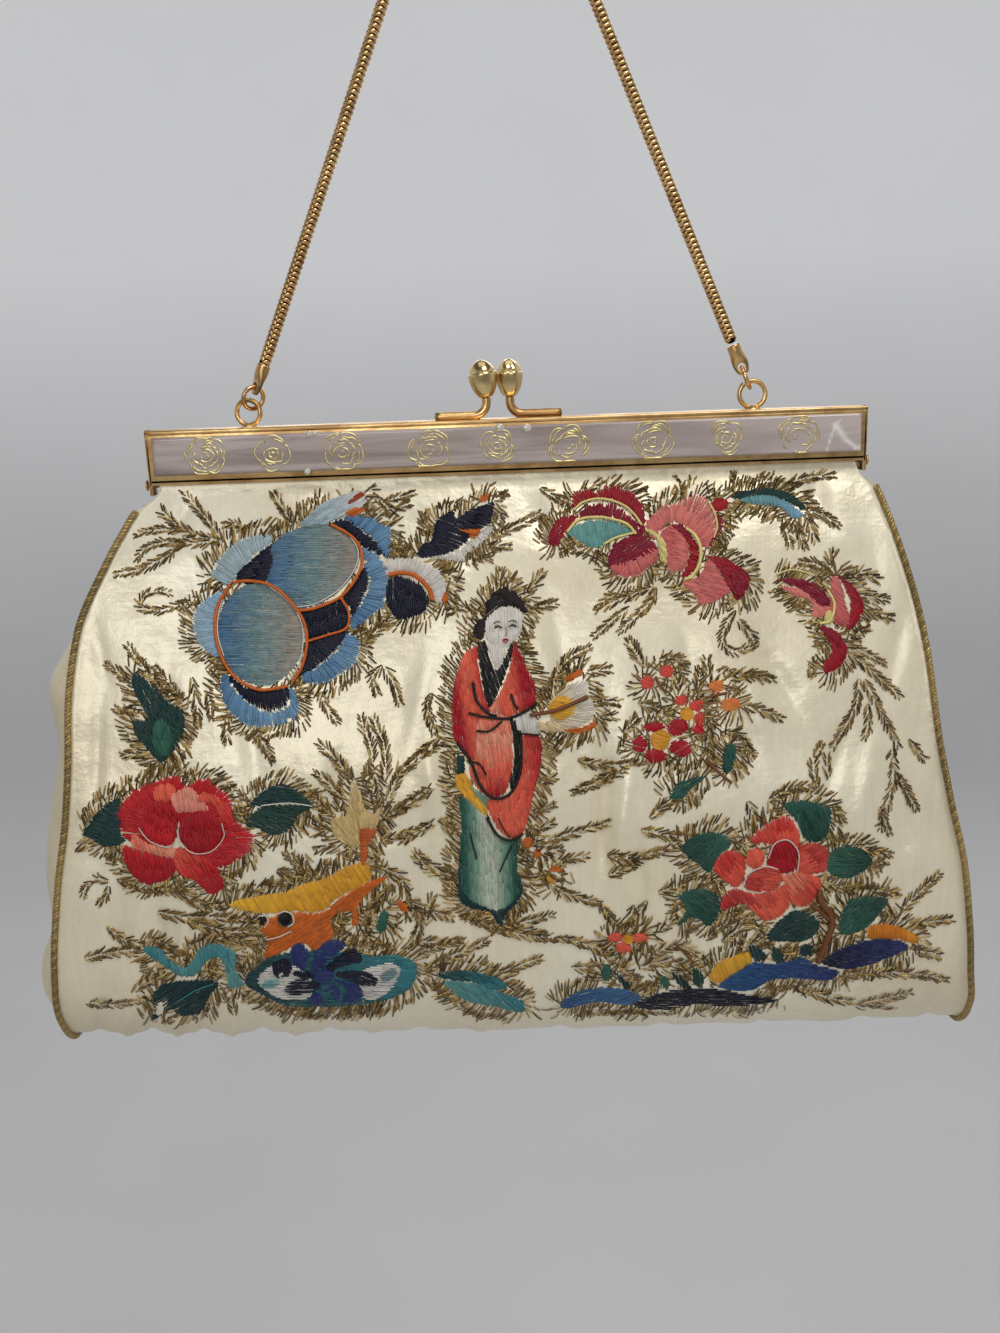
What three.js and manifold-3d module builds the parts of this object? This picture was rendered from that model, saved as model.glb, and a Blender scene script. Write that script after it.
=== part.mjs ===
// Embroidered satin evening bag on a gilt box frame, hung by its snake-chain handle.
// Millimetres, +Z up, front towards -Y. Heights are first given from the frame's top edge,
// and the whole bag is then moved so that the origin is where the chain hangs from its hook.
import * as THREE from "three";
import { mergeVertices } from "three/addons/utils/BufferGeometryUtils.js";
import Module from "manifold-3d";

const wasm = await Module();
wasm.setup();

// Clearance between pieces that touch or are sewn, soldered or crimped together
const seat = 0.3;

// Box frame
const frameLength = 170;
const frameHeight = 12.6;
const halfDepth = 4.8;
const halfGap = 0.4;
const endFlare = 0.4;
const flareDrop = 9;
const edgeChamfer = 0.4;
const topRail = 1.1;
const bottomRail = 1.7;
const endRail = 0.9;
const windowDepth = 1;
const slotWidth = 2.6;
const slotDepth = 3;
const slotFront = 1.5;
const slotEndWall = 2.4;

// Pearl bars
const pearlProud = 0.6;
const pearlEdge = 0.7;

// Hinges at the frame's lower ends
const earFront = 1;
const earBack = 0.7;
const earDrop = 2.4;
const earRise = 2;
const earReach = 1.9;
const pinRadius = 0.6;
const pinHeadRadius = 1.3;
const pinHeadDepth = 0.5;
const pinLength = 2.6;

// Clasp
const stemRadius = 1.05;
const stemSink = 0.2;
const stemBend = 3;
const stemRise = 4.7;
const stemSides = 10;
const stemSteps = 14;
const footLength = 12;
const knobHeight = 8.7;
const knobRadius = 3.35;
const knobSides = 14;
const claspOffset = -2.65;
const frontKnobTilt = -8;
const backKnobScale = 0.92;
const knobMeet = 0.4;
const frontStemOff = 1.2;

// Ring eyes, jump rings and end caps
const eyeInset = 25.25;
const handleOffset = -1.2;
const eyeWire = 0.6;
const eyeSolder = 0.9;
const ringRadius = 2.6;
const ringWire = 0.55;
const linkSegments = 16;
const wireSides = 6;
const capLength = 7.4;
const capWidth = 3.7;
const capHole = 0.95;
const capHoleUp = 1.9;
const roundSides = 12;

// Snake chain
const chainDiameter = 3;
const legLean = 21.9;
const chainBend = 8;
const chainSides = 8;
const legSteps = 17;
const bendSteps = 10;

// Satin bag
const bagDrop = 151;
const bagWidth = 220;
const bagDepth = 46;
const bagCrown = 4;
const bagLean = 3.7;
const hangTilt = 0.022;
const panelWall = 2;
const gussetWall = 1.2;
const bulgeLeft = 9;
const bulgeRight = 5.6;
const pipingDiameter = 1.7;
const pipingSides = 8;
const panelColumns = 20;
const gussetColumns = 8;
// Shape of a gusset's swell from seam to seam: higher fullness is flatter in the middle,
// lower softness is steeper at the seams
const swellFullness = 2.2;
const swellSoftness = 0.65;

// How far a cut runs past the face it opens
const cutPast = 1;

// Depth and reach of the panel where it enters the frame's slot, and places that follow the frame
const slotFace = halfGap / 2 + halfDepth - slotFront - seat;
const slotHalfLength = frameLength / 2 - earBack - seat - slotEndWall;
const slotTop = frameHeight - slotDepth + seat;
const eyeSpread = frameLength / 2 - eyeInset;
const earBottom = frameHeight + earDrop;

// Rows of the bag from the frame's slot to the middle of its base. drop is a share of the drop
// from the frame's foot to the base, width a share of the way from the slot's half length to the
// bag's half width, depth a share of the half depth at the seam. crown and lean are shares of
// bagCrown and bagLean, bulgeL and bulgeR of each gusset's bulge, and steps is how many rows of
// facets lie before the next row.
const sections = [
  { drop: 0.020, width: 0.04, depth: 0.170, crown: 0.00, lean: 0.00, bulgeL: 0.00, bulgeR: 0.00, steps: 1 },
  { drop: 0.045, width: 0.16, depth: 0.235, crown: 0.08, lean: 0.18, bulgeL: 0.05, bulgeR: 0.05, steps: 1 },
  { drop: 0.082, width: 0.25, depth: 0.325, crown: 0.15, lean: 0.36, bulgeL: 0.12, bulgeR: 0.12, steps: 1 },
  { drop: 0.130, width: 0.35, depth: 0.440, crown: 0.28, lean: 0.58, bulgeL: 0.25, bulgeR: 0.20, steps: 2 },
  { drop: 0.240, width: 0.54, depth: 0.610, crown: 0.50, lean: 0.97, bulgeL: 0.42, bulgeR: 0.45, steps: 2 },
  { drop: 0.345, width: 0.62, depth: 0.765, crown: 0.72, lean: 1.00, bulgeL: 1.00, bulgeR: 0.75, steps: 2 },
  { drop: 0.450, width: 0.66, depth: 0.880, crown: 0.90, lean: 0.90, bulgeL: 0.80, bulgeR: 0.90, steps: 2 },
  { drop: 0.555, width: 0.73, depth: 0.962, crown: 1.00, lean: 0.76, bulgeL: 0.98, bulgeR: 1.00, steps: 2 },
  { drop: 0.668, width: 0.84, depth: 1.000, crown: 1.00, lean: 0.68, bulgeL: 0.90, bulgeR: 1.00, steps: 2 },
  { drop: 0.775, width: 0.91, depth: 0.982, crown: 0.90, lean: 0.74, bulgeL: 0.56, bulgeR: 0.90, steps: 2 },
  { drop: 0.862, width: 0.96, depth: 0.887, crown: 0.75, lean: 0.76, bulgeL: 0.86, bulgeR: 0.80, steps: 1 },
  { drop: 0.928, width: 1.00, depth: 0.713, crown: 0.55, lean: 0.62, bulgeL: 0.74, bulgeR: 0.55, steps: 1 },
  { drop: 0.975, width: 1.00, depth: 0.470, crown: 0.35, lean: 0.54, bulgeL: 0.40, bulgeR: 0.25, steps: 1 },
  { drop: 0.996, width: 1.00, depth: 0.217, crown: 0.25, lean: 0.54, bulgeL: 0.12, bulgeR: 0.08, steps: 1 },
  { drop: 1.000, width: 1.00, depth: 0.000, crown: 0.25, lean: 0.54, bulgeL: 0.00, bulgeR: 0.00, steps: 0 },
];

// Soft dents and folds of the front and back. across is a share of the half width, drop a share
// as above, wide and tall are shares of the bag's width and drop, deep a share of bagCrown
// (negative swells out), slant in degrees.
const folds = [
  { face: -1, across: -0.72, drop: 0.16, wide: 0.045, tall: 0.10, deep: 0.40, slant: -20 },
  { face: -1, across: -0.40, drop: 0.12, wide: 0.050, tall: 0.12, deep: 0.30, slant: -8 },
  { face: -1, across: 0.45, drop: 0.13, wide: 0.050, tall: 0.12, deep: 0.35, slant: 12 },
  { face: -1, across: 0.18, drop: 0.62, wide: 0.040, tall: 0.15, deep: 0.40, slant: 6 },
  { face: -1, across: 0.62, drop: 0.46, wide: 0.080, tall: 0.05, deep: 0.30, slant: 10 },
  { face: -1, across: -0.80, drop: 0.76, wide: 0.050, tall: 0.10, deep: 0.45, slant: -14 },
  { face: -1, across: 0.82, drop: 0.74, wide: 0.045, tall: 0.14, deep: 0.35, slant: 10 },
  { face: -1, across: -0.30, drop: 0.83, wide: 0.060, tall: 0.06, deep: -0.30, slant: 0 },
  { face: 1, across: -0.50, drop: 0.30, wide: 0.060, tall: 0.16, deep: 0.45, slant: 12 },
  { face: 1, across: 0.35, drop: 0.48, wide: 0.070, tall: 0.14, deep: 0.40, slant: -8 },
  { face: 1, across: 0.74, drop: 0.70, wide: 0.050, tall: 0.12, deep: 0.40, slant: 10 },
];

// Acorn knob, from its foot to its tip, as shares of its radius and height
const knobProfile = [
  { out: 0.46, up: 0.00 },
  { out: 0.64, up: 0.10 },
  { out: 0.86, up: 0.28 },
  { out: 0.98, up: 0.48 },
  { out: 1.00, up: 0.62 },
  { out: 0.90, up: 0.66 },
  { out: 0.82, up: 0.74 },
  { out: 0.62, up: 0.87 },
  { out: 0.32, up: 0.97 },
];

// End cap, from its eyelet end to its collar. up is a share of its length, wide and thick are
// shares of its half width.
const capSections = [
  { up: 0.00, wide: 0.34, thick: 0.20 },
  { up: 0.07, wide: 0.70, thick: 0.34 },
  { up: 0.26, wide: 0.96, thick: 0.38 },
  { up: 0.43, wide: 1.00, thick: 0.46 },
  { up: 0.60, wide: 0.96, thick: 0.72 },
  { up: 0.78, wide: 0.88, thick: 0.86 },
  { up: 1.00, wide: 0.84, thick: 0.84 },
];

// The two ends of the handle. ringTurn is about the leg's own line, so that the left ring lies
// nearly face on and the right ring edge on. slack is how far a ring sits short of its eye's wire.
const handleEnds = [
  { name: "left", side: -1, eyeRadius: 2.9, eyeTurn: -14, ringTurn: 37, slack: 0.45 },
  { name: "right", side: 1, eyeRadius: 3.1, eyeTurn: 0, ringTurn: 80, slack: 0 },
];

const radians = THREE.MathUtils.degToRad;

// Turns a section drawn in X and Y and extruded along Z into one in Y and Z that runs along X
const alongX = new THREE.Matrix4().set(0, 0, 1, 0, 1, 0, 0, 0, 0, 1, 0, 0, 0, 0, 0, 1);

const gilt = new THREE.MeshStandardMaterial({ color: 0xb08a45, metalness: 1, roughness: 0.3 });
const pearl = new THREE.MeshStandardMaterial({ color: 0x9a8685, metalness: 0, roughness: 0.3 });
const satin = new THREE.MeshStandardMaterial({ color: 0xd8cfb0, metalness: 0, roughness: 0.5 });
const goldCord = new THREE.MeshStandardMaterial({ color: 0xa88a4c, metalness: 0.6, roughness: 0.5 });

// Corners nearer than this are one corner
const weld = 1e-4;

// A closed geometry as a solid for joins and cuts, and back again
function solidOf(geometry) {
  geometry.deleteAttribute("normal");
  geometry.deleteAttribute("uv");
  const merged = mergeVertices(geometry, weld);
  const vertProperties = new Float32Array(merged.attributes.position.array);
  const triVerts = new Uint32Array(merged.index.array);
  return new wasm.Manifold(new wasm.Mesh({ numProp: 3, vertProperties, triVerts }));
}

function geometryOf(solid) {
  const { vertProperties, triVerts, numProp } = solid.getMesh();
  const positions = new Float32Array((vertProperties.length / numProp) * 3);
  for (let i = 0; i < positions.length / 3; i += 1) {
    for (let axis = 0; axis < 3; axis += 1) positions[3 * i + axis] = vertProperties[numProp * i + axis];
  }
  const geometry = new THREE.BufferGeometry();
  geometry.setAttribute("position", new THREE.BufferAttribute(positions, 3));
  geometry.setIndex([...triVerts]);
  geometry.computeVertexNormals();
  return geometry;
}

function block(x0, x1, y0, y1, z0, z1) {
  const geometry = new THREE.BoxGeometry(x1 - x0, y1 - y0, z1 - z0);
  geometry.translate((x0 + x1) / 2, (y0 + y1) / 2, (z0 + z1) / 2);
  return solidOf(geometry);
}

// A geometry from points and triangles, turned so that its faces point out
function closedGeometry(points, triangles) {
  const [a, b, c] = [0, 1, 2].map(() => new THREE.Vector3());
  let volume = 0;
  for (const [i, j, k] of triangles) {
    a.copy(points[i]);
    b.copy(points[j]);
    c.copy(points[k]);
    volume += a.dot(b.cross(c));
  }
  const facing = volume > 0 ? triangles : triangles.map(([i, j, k]) => [i, k, j]);
  const geometry = new THREE.BufferGeometry().setFromPoints(points);
  geometry.setIndex(facing.flat());
  geometry.computeVertexNormals();
  return geometry;
}

// A cloth wall between an outer and an inner grid of points, closed along all four edges
function wallBetween(outer, inner) {
  const rows = outer.length;
  const columns = outer[0].length;
  const points = [...outer.flat(), ...inner.flat()];
  const outerAt = (r, c) => r * columns + c;
  const innerAt = (r, c) => rows * columns + r * columns + c;
  const triangles = [];
  const quad = (i, j, k, l) => triangles.push([i, j, k], [i, k, l]);
  for (let r = 0; r < rows - 1; r += 1) {
    for (let c = 0; c < columns - 1; c += 1) {
      quad(outerAt(r, c), outerAt(r, c + 1), outerAt(r + 1, c + 1), outerAt(r + 1, c));
      quad(innerAt(r, c), innerAt(r + 1, c), innerAt(r + 1, c + 1), innerAt(r, c + 1));
    }
    quad(outerAt(r, 0), outerAt(r + 1, 0), innerAt(r + 1, 0), innerAt(r, 0));
    const last = columns - 1;
    quad(outerAt(r, last), innerAt(r, last), innerAt(r + 1, last), outerAt(r + 1, last));
  }
  for (let c = 0; c < columns - 1; c += 1) {
    quad(outerAt(0, c), innerAt(0, c), innerAt(0, c + 1), outerAt(0, c + 1));
    const last = rows - 1;
    quad(outerAt(last, c), outerAt(last, c + 1), innerAt(last, c + 1), innerAt(last, c));
  }
  return closedGeometry(points, triangles);
}

// A round wire or cord along a path, closed at both ends
function rod(path, radius, sides, steps) {
  const ring = [];
  for (let i = 0; i < sides; i += 1) {
    const angle = (2 * Math.PI * i) / sides;
    ring.push(new THREE.Vector2(radius * Math.cos(angle), radius * Math.sin(angle)));
  }
  return new THREE.ExtrudeGeometry(new THREE.Shape(ring), { steps, extrudePath: path, curveSegments: 1 });
}

// Each column of a table as a smooth curve without overshoot, read at a row number
function columnCurve(rows, name) {
  const values = rows.map((row) => row[name]);
  const slopes = values.slice(1).map((value, i) => value - values[i]);
  const tangents = values.map((_, i) => {
    if (i === 0) return slopes[0];
    if (i === values.length - 1) return slopes[i - 1];
    const [before, after] = [slopes[i - 1], slopes[i]];
    return before * after <= 0 ? 0 : (2 * before * after) / (before + after);
  });
  return (at) => {
    const i = Math.min(Math.floor(at), values.length - 2);
    const t = at - i;
    const [t2, t3] = [t * t, t * t * t];
    return (2 * t3 - 3 * t2 + 1) * values[i] + (t3 - 2 * t2 + t) * tangents[i]
      + (3 * t2 - 2 * t3) * values[i + 1] + (t3 - t2) * tangents[i + 1];
  };
}

const column = {};
for (const name of ["drop", "width", "depth", "crown", "lean", "bulgeL", "bulgeR"]) {
  column[name] = columnCurve(sections, name);
}

// Row numbers of the facet rows, from the frame to the middle of the base
const rowStops = sections.flatMap((row, i) =>
  Array.from({ length: row.steps }, (_, k) => i + k / row.steps));
rowStops.push(sections.length - 1);

const halfWidth = bagWidth / 2;
const slotReach = slotHalfLength - seat;
const fallBelowFrame = bagDrop - frameHeight;

// Seam line of one face (-1 front, 1 back), as depth and height, with its outward normal
function seamLine(at, face) {
  const y = face * column.depth(at) * (bagDepth / 2);
  return { y, z: -frameHeight - column.drop(at) * fallBelowFrame };
}

function seamNormal(at, face) {
  const nudge = 0.02;
  const last = sections.length - 1;
  if (at > last - nudge) return { y: 0, z: -1 };
  const before = seamLine(Math.max(at - nudge, 0), face);
  const after = seamLine(at + nudge, face);
  const [dy, dz] = [after.y - before.y, after.z - before.z];
  const length = Math.hypot(dy, dz);
  return { y: (-face * dz) / length, z: (face * dy) / length };
}

function foldDepth(face, across, drop) {
  let total = 0;
  for (const fold of folds) {
    if (fold.face !== face) continue;
    const sideways = (across - fold.across) * halfWidth;
    const down = (drop - fold.drop) * fallBelowFrame;
    const [c, s] = [Math.cos(radians(fold.slant)), Math.sin(radians(fold.slant))];
    const u = (sideways * c + down * s) / (fold.wide * bagWidth);
    const v = (down * c - sideways * s) / (fold.tall * fallBelowFrame);
    total += fold.deep * bagCrown * Math.exp(-u * u - v * v);
  }
  return total;
}

function seamReach(at) {
  return slotReach + column.width(at) * (halfWidth - slotReach);
}

// A point of the panel's outer face. across runs from -1 at the left seam to 1 at the right.
// push moves it along the outward normal of the seam line.
function panelPoint(at, face, across, push = 0) {
  const line = seamLine(at, face);
  const normal = seamNormal(at, face);
  const drop = column.drop(at);
  const rise = 1 - across * across;
  const swell = column.crown(at) * bagCrown * rise - foldDepth(face, across, drop) * rise + push;
  const x = across * seamReach(at) - column.lean(at) * bagLean;
  const lower = hangTilt * across * drop * fallBelowFrame;
  return new THREE.Vector3(x, line.y + normal.y * swell, line.z - lower + normal.z * swell);
}

// The stretch of panel inside the frame's slot, above the first row of the table
function slotPoint(z, face, across, push) {
  return new THREE.Vector3(across * slotReach, face * (slotFace + push), z);
}

function panelGeometry() {
  const acrossStops = Array.from({ length: panelColumns + 1 }, (_, i) => (2 * i) / panelColumns - 1);
  const gridFor = (push) => {
    const rowAt = (at, face) => acrossStops.map((across) => panelPoint(at, face, across, push));
    const slotRow = (z, face) => acrossStops.map((across) => slotPoint(z, face, across, push));
    const slotHeights = [-slotTop, -frameHeight - seat];
    const front = [...slotHeights.map((z) => slotRow(z, -1)), ...rowStops.map((at) => rowAt(at, -1))];
    const back = [
      ...slotHeights.map((z) => slotRow(z, 1)),
      ...rowStops.slice(0, -1).map((at) => rowAt(at, 1)),
    ];
    return [...front, ...back.reverse()];
  };
  return wallBetween(gridFor(0), gridFor(-panelWall));
}

// Gusset: rows cross from the front seam to the back seam and swell outwards between them
function gussetGeometry(side) {
  const bulge = side < 0 ? bulgeLeft : bulgeRight;
  const bulgeAt = side < 0 ? column.bulgeL : column.bulgeR;
  const inset = -(panelWall + seat);
  const stops = rowStops.filter((at) => at <= sections.length - 2);
  const outer = stops.map((at) => {
    const front = panelPoint(at, -1, side, inset);
    const back = panelPoint(at, 1, side, inset);
    return Array.from({ length: gussetColumns + 1 }, (_, i) => {
      const u = (2 * i) / gussetColumns - 1;
      const point = front.clone().lerp(back, (u + 1) / 2);
      point.x += side * bulgeAt(at) * bulge * (1 - Math.abs(u) ** swellFullness) ** swellSoftness;
      return point;
    });
  });
  const inner = outer.map((row, r) => row.map((point, c) => {
    const along = row[Math.min(c + 1, row.length - 1)].clone().sub(row[Math.max(c - 1, 0)]);
    const down = outer[Math.min(r + 1, outer.length - 1)][c].clone().sub(outer[Math.max(r - 1, 0)][c]);
    const normal = along.cross(down).normalize();
    if (normal.x * side < 0) normal.negate();
    return point.clone().addScaledVector(normal, -gussetWall);
  }));
  return wallBetween(outer, inner);
}

// Piping: lies in the corner outside each seam, down the front, under the base and up the back
function pipingGeometry(side) {
  const radius = pipingDiameter / 2;
  const outward = (radius + seat) * Math.SQRT1_2;
  const stops = rowStops.filter((at) => at >= 1);
  const pointAt = (at, face) => {
    const point = panelPoint(at, face, side, outward);
    point.x += side * outward;
    return point;
  };
  const front = stops.map((at) => pointAt(at, -1));
  const back = stops.slice(0, -1).map((at) => pointAt(at, 1)).reverse();
  const path = new THREE.CatmullRomCurve3([...front, ...back], false, "centripetal");
  return rod(path, radius, pipingSides, 2 * stops.length + 2);
}

// One half of the frame before its fittings: a chamfered bar, flared a little at its top ends,
// with a window on its face and a slot for the panel in its underside
function frameBar(face, halfLength) {
  const near = halfGap / 2;
  const far = near + halfDepth;
  const section = new THREE.Shape([
    new THREE.Vector2(near, 0),
    new THREE.Vector2(far - edgeChamfer, 0),
    new THREE.Vector2(far, -edgeChamfer),
    new THREE.Vector2(far, edgeChamfer - frameHeight),
    new THREE.Vector2(far - edgeChamfer, -frameHeight),
    new THREE.Vector2(near, -frameHeight),
  ]);
  const reach = halfLength + endFlare;
  const bar = new THREE.ExtrudeGeometry(section, { depth: 2 * reach, bevelEnabled: false });
  bar.translate(0, 0, -reach);
  bar.applyMatrix4(alongX);
  const outline = new THREE.Shape([
    new THREE.Vector2(-reach, 0),
    new THREE.Vector2(-halfLength, -flareDrop),
    new THREE.Vector2(-halfLength, -frameHeight),
    new THREE.Vector2(halfLength, -frameHeight),
    new THREE.Vector2(halfLength, -flareDrop),
    new THREE.Vector2(reach, 0),
  ]);
  const ends = new THREE.ExtrudeGeometry(outline, { depth: far + near, bevelEnabled: false });
  ends.rotateX(Math.PI / 2);
  ends.translate(0, far + near, 0);
  const windowHalf = halfLength - endRail;
  const solid = solidOf(bar).intersect(solidOf(ends))
    .subtract(block(-windowHalf, windowHalf, far - windowDepth, far + cutPast,
      bottomRail - frameHeight, -topRail))
    .subtract(block(-slotHalfLength, slotHalfLength, far - slotFront - slotWidth, far - slotFront,
      -frameHeight - cutPast, slotDepth - frameHeight));
  return face < 0 ? solid.mirror([0, 1, 0]) : solid;
}

// Stem of one knob: a foot bar along the frame's top that bends up
function stemPath(side, upX, y) {
  const footZ = stemRadius - stemSink;
  const path = new THREE.CurvePath();
  const bendStart = new THREE.Vector3(upX + side * stemBend, y, footZ);
  const bendEnd = new THREE.Vector3(upX, y, footZ + stemBend);
  const corner = new THREE.Vector3(upX, y, footZ);
  path.add(new THREE.LineCurve3(new THREE.Vector3(upX + side * footLength, y, footZ), bendStart));
  path.add(new THREE.QuadraticBezierCurve3(bendStart, corner, bendEnd));
  path.add(new THREE.LineCurve3(bendEnd, new THREE.Vector3(upX, y, stemRise)));
  return path;
}

const middleDepth = (halfGap + halfDepth) / 2;
const stemDepth = halfGap / 2 + stemRadius;
const frontHalfLength = frameLength / 2 - earBack - seat;
const backHalfLength = frameLength / 2;
const hingeHeight = -frameHeight + earRise - (earDrop + earRise) / 2;
const knobSpread = (knobRadius * (1 + backKnobScale) + knobMeet) / 2;

// Where each knob's stem stands
const stems = {
  front: { side: -1, upX: claspOffset - knobSpread + frontStemOff, face: -1 },
  back: { side: 1, upX: claspOffset + knobSpread, face: 1 },
};

function stemSolid({ side, upX, face }) {
  return solidOf(rod(stemPath(side, upX, face * stemDepth), stemRadius, stemSides, stemSteps));
}

// Pin hole through the ears of both ends
function pinHoles() {
  const radius = pinRadius + seat;
  const hole = new THREE.CylinderGeometry(radius, radius, 2 * pinLength, roundSides);
  hole.rotateZ(Math.PI / 2);
  hole.translate(0, 0, hingeHeight);
  const solid = solidOf(hole);
  return solid.translate([backHalfLength, 0, 0]).add(solid.translate([-backHalfLength, 0, 0]));
}

function frontFrameGeometry() {
  const far = halfGap / 2 + halfDepth;
  const inside = frontHalfLength - earFront;
  const earTop = earRise - frameHeight;
  let solid = frameBar(-1, frontHalfLength);
  for (const [x0, x1] of [[inside, frontHalfLength], [-frontHalfLength, -inside]]) {
    solid = solid.add(block(x0, x1, -halfGap / 2 - cutPast, earReach, -earBottom, earTop))
      .add(block(x0, x1, -far, 0, -earBottom, bottomRail - frameHeight));
  }
  return geometryOf(solid.add(stemSolid(stems.front)).subtract(pinHoles()));
}

// An eye for a jump ring: a ring soldered to the frame's top
function eyeSolid({ side, eyeRadius, eyeTurn }) {
  const eye = new THREE.TorusGeometry(eyeRadius, eyeWire, wireSides, linkSegments);
  eye.rotateX(Math.PI / 2);
  eye.rotateZ(radians(eyeTurn));
  eye.translate(0, 0, eyeHeight(eyeRadius));
  const foot = new THREE.CylinderGeometry(2 * eyeWire, 3 * eyeWire, eyeSolder + stemSink, roundSides);
  foot.rotateX(Math.PI / 2);
  foot.translate(0, 0, (eyeSolder - stemSink) / 2);
  return solidOf(eye).add(solidOf(foot)).translate([handleOffset + side * eyeSpread, middleDepth, 0]);
}

function eyeHeight(eyeRadius) {
  return eyeRadius + eyeWire - stemSink;
}

function backFrameGeometry() {
  const near = halfGap / 2;
  const far = near + halfDepth;
  const inside = backHalfLength - earBack;
  const earTop = earRise - frameHeight;
  const notchInside = frontHalfLength - earFront - seat;
  let solid = frameBar(1, backHalfLength);
  for (const side of [-1, 1]) {
    const span = (a, b) => (side < 0 ? [-b, -a] : [a, b]);
    const [n0, n1] = span(notchInside, inside);
    const [e0, e1] = span(inside, backHalfLength);
    solid = solid
      .subtract(block(n0, n1, -cutPast, earReach + seat, -frameHeight - cutPast, earTop + seat))
      .add(block(e0, e1, -earReach, near + cutPast, -earBottom, earTop))
      .add(block(e0, e1, 0, far, -earBottom, bottomRail - frameHeight));
  }
  solid = solid.add(stemSolid(stems.back)).subtract(pinHoles());
  for (const end of handleEnds) solid = solid.add(eyeSolid(end));
  return geometryOf(solid);
}

// Pearl bar: a flat-backed strip with a crowned face, seated in a window
function pearlGeometry(face, halfLength) {
  const height = frameHeight - topRail - bottomRail - 2 * seat;
  const depth = windowDepth - seat + pearlProud;
  const section = new THREE.Shape([
    new THREE.Vector2(0, 0),
    new THREE.Vector2(depth - pearlEdge, 0),
    new THREE.Vector2(depth - pearlEdge / 4, pearlEdge),
    new THREE.Vector2(depth, height / 3),
    new THREE.Vector2(depth, (2 * height) / 3),
    new THREE.Vector2(depth - pearlEdge / 4, height - pearlEdge),
    new THREE.Vector2(depth - pearlEdge, height),
    new THREE.Vector2(0, height),
  ]);
  const reach = halfLength - endRail - seat;
  const geometry = new THREE.ExtrudeGeometry(section, { depth: 2 * reach, bevelEnabled: false });
  geometry.translate(0, 0, -reach);
  geometry.applyMatrix4(alongX);
  if (face < 0) geometry.rotateZ(Math.PI);
  return geometry;
}

// Rivet along its own X axis, its head outwards at x = 0
function pinGeometry() {
  const profile = [
    new THREE.Vector2(0, -pinLength),
    new THREE.Vector2(pinRadius, -pinLength),
    new THREE.Vector2(pinRadius, 0),
    new THREE.Vector2(pinHeadRadius, 0),
    new THREE.Vector2(pinHeadRadius, pinHeadDepth / 2),
    new THREE.Vector2(pinRadius, pinHeadDepth),
    new THREE.Vector2(0, pinHeadDepth),
  ];
  const geometry = new THREE.LatheGeometry(profile, roundSides);
  geometry.rotateZ(-Math.PI / 2);
  return geometry;
}

function knobGeometry(scale) {
  const profile = knobProfile.map(({ out, up }) =>
    new THREE.Vector2(out * knobRadius * scale, up * knobHeight));
  profile.unshift(new THREE.Vector2(0, 0));
  profile.push(new THREE.Vector2(0, knobHeight));
  const geometry = new THREE.LatheGeometry(profile, knobSides);
  geometry.rotateX(Math.PI / 2);
  return geometry;
}

// End cap along +Z from its eyelet end, flat across X where the ring passes through
function capGeometry() {
  const half = capWidth / 2;
  const points = [];
  for (const { up, wide, thick } of capSections) {
    for (let i = 0; i < roundSides; i += 1) {
      const angle = (2 * Math.PI * i) / roundSides;
      const [x, y] = [half * thick * Math.cos(angle), half * wide * Math.sin(angle)];
      points.push(new THREE.Vector3(x, y, up * capLength));
    }
  }
  const last = points.length - roundSides;
  const triangles = [];
  for (let start = 0; start < last; start += roundSides) {
    for (let i = 0; i < roundSides; i += 1) {
      const next = (i + 1) % roundSides;
      triangles.push([start + i, start + next, start + roundSides + next]);
      triangles.push([start + i, start + roundSides + next, start + roundSides + i]);
    }
  }
  for (let i = 1; i < roundSides - 1; i += 1) {
    triangles.push([0, i + 1, i], [last, last + i, last + i + 1]);
  }
  const hole = new THREE.CylinderGeometry(capHole, capHole, 2 * capWidth, roundSides);
  hole.rotateZ(Math.PI / 2);
  hole.translate(0, 0, capHoleUp);
  return geometryOf(solidOf(closedGeometry(points, triangles)).subtract(solidOf(hole)));
}

// Places along a leg of the handle, measured from its eye's centre
function legStations({ side, eyeRadius, slack }) {
  const ringAt = eyeRadius - (eyeWire + ringWire + seat) + ringRadius - slack;
  const holeAt = ringAt + ringRadius + capHole - ringWire - seat;
  const capAt = holeAt - capHoleUp;
  return {
    start: new THREE.Vector3(handleOffset + side * eyeSpread, middleDepth, eyeHeight(eyeRadius)),
    lean: -side * radians(legLean),
    ringAt,
    capAt,
    chainAt: capAt + capLength + seat,
  };
}

// Centre line of the chain: up one leg, round the hook, down the other
function chainPath() {
  const lean = radians(legLean);
  const [left, right] = handleEnds.map(legStations);
  const meetZ = (left.start.z + right.start.z) / 2 + eyeSpread / Math.tan(lean);
  const bendCentre = new THREE.Vector3(handleOffset, middleDepth, meetZ - chainBend / Math.sin(lean));
  const top = bendCentre.z + chainBend;
  const points = [];
  const onBend = (angle) => new THREE.Vector3(
    bendCentre.x + chainBend * Math.sin(angle), middleDepth, bendCentre.z + chainBend * Math.cos(angle));
  const turn = Math.PI / 2 - lean;
  const legPoint = (leg) => new THREE.Vector3(Math.sin(leg.lean), 0, Math.cos(leg.lean))
    .multiplyScalar(leg.chainAt).add(leg.start);
  const [leftEnd, rightEnd] = [legPoint(left), legPoint(right)];
  for (let i = 0; i < legSteps; i += 1) points.push(leftEnd.clone().lerp(onBend(-turn), i / legSteps));
  for (let i = 0; i <= bendSteps; i += 1) points.push(onBend(-turn + (2 * turn * i) / bendSteps));
  for (let i = 1; i <= legSteps; i += 1) points.push(onBend(turn).lerp(rightEnd, i / legSteps));
  return { points, top };
}

const bag = new THREE.Group();

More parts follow.
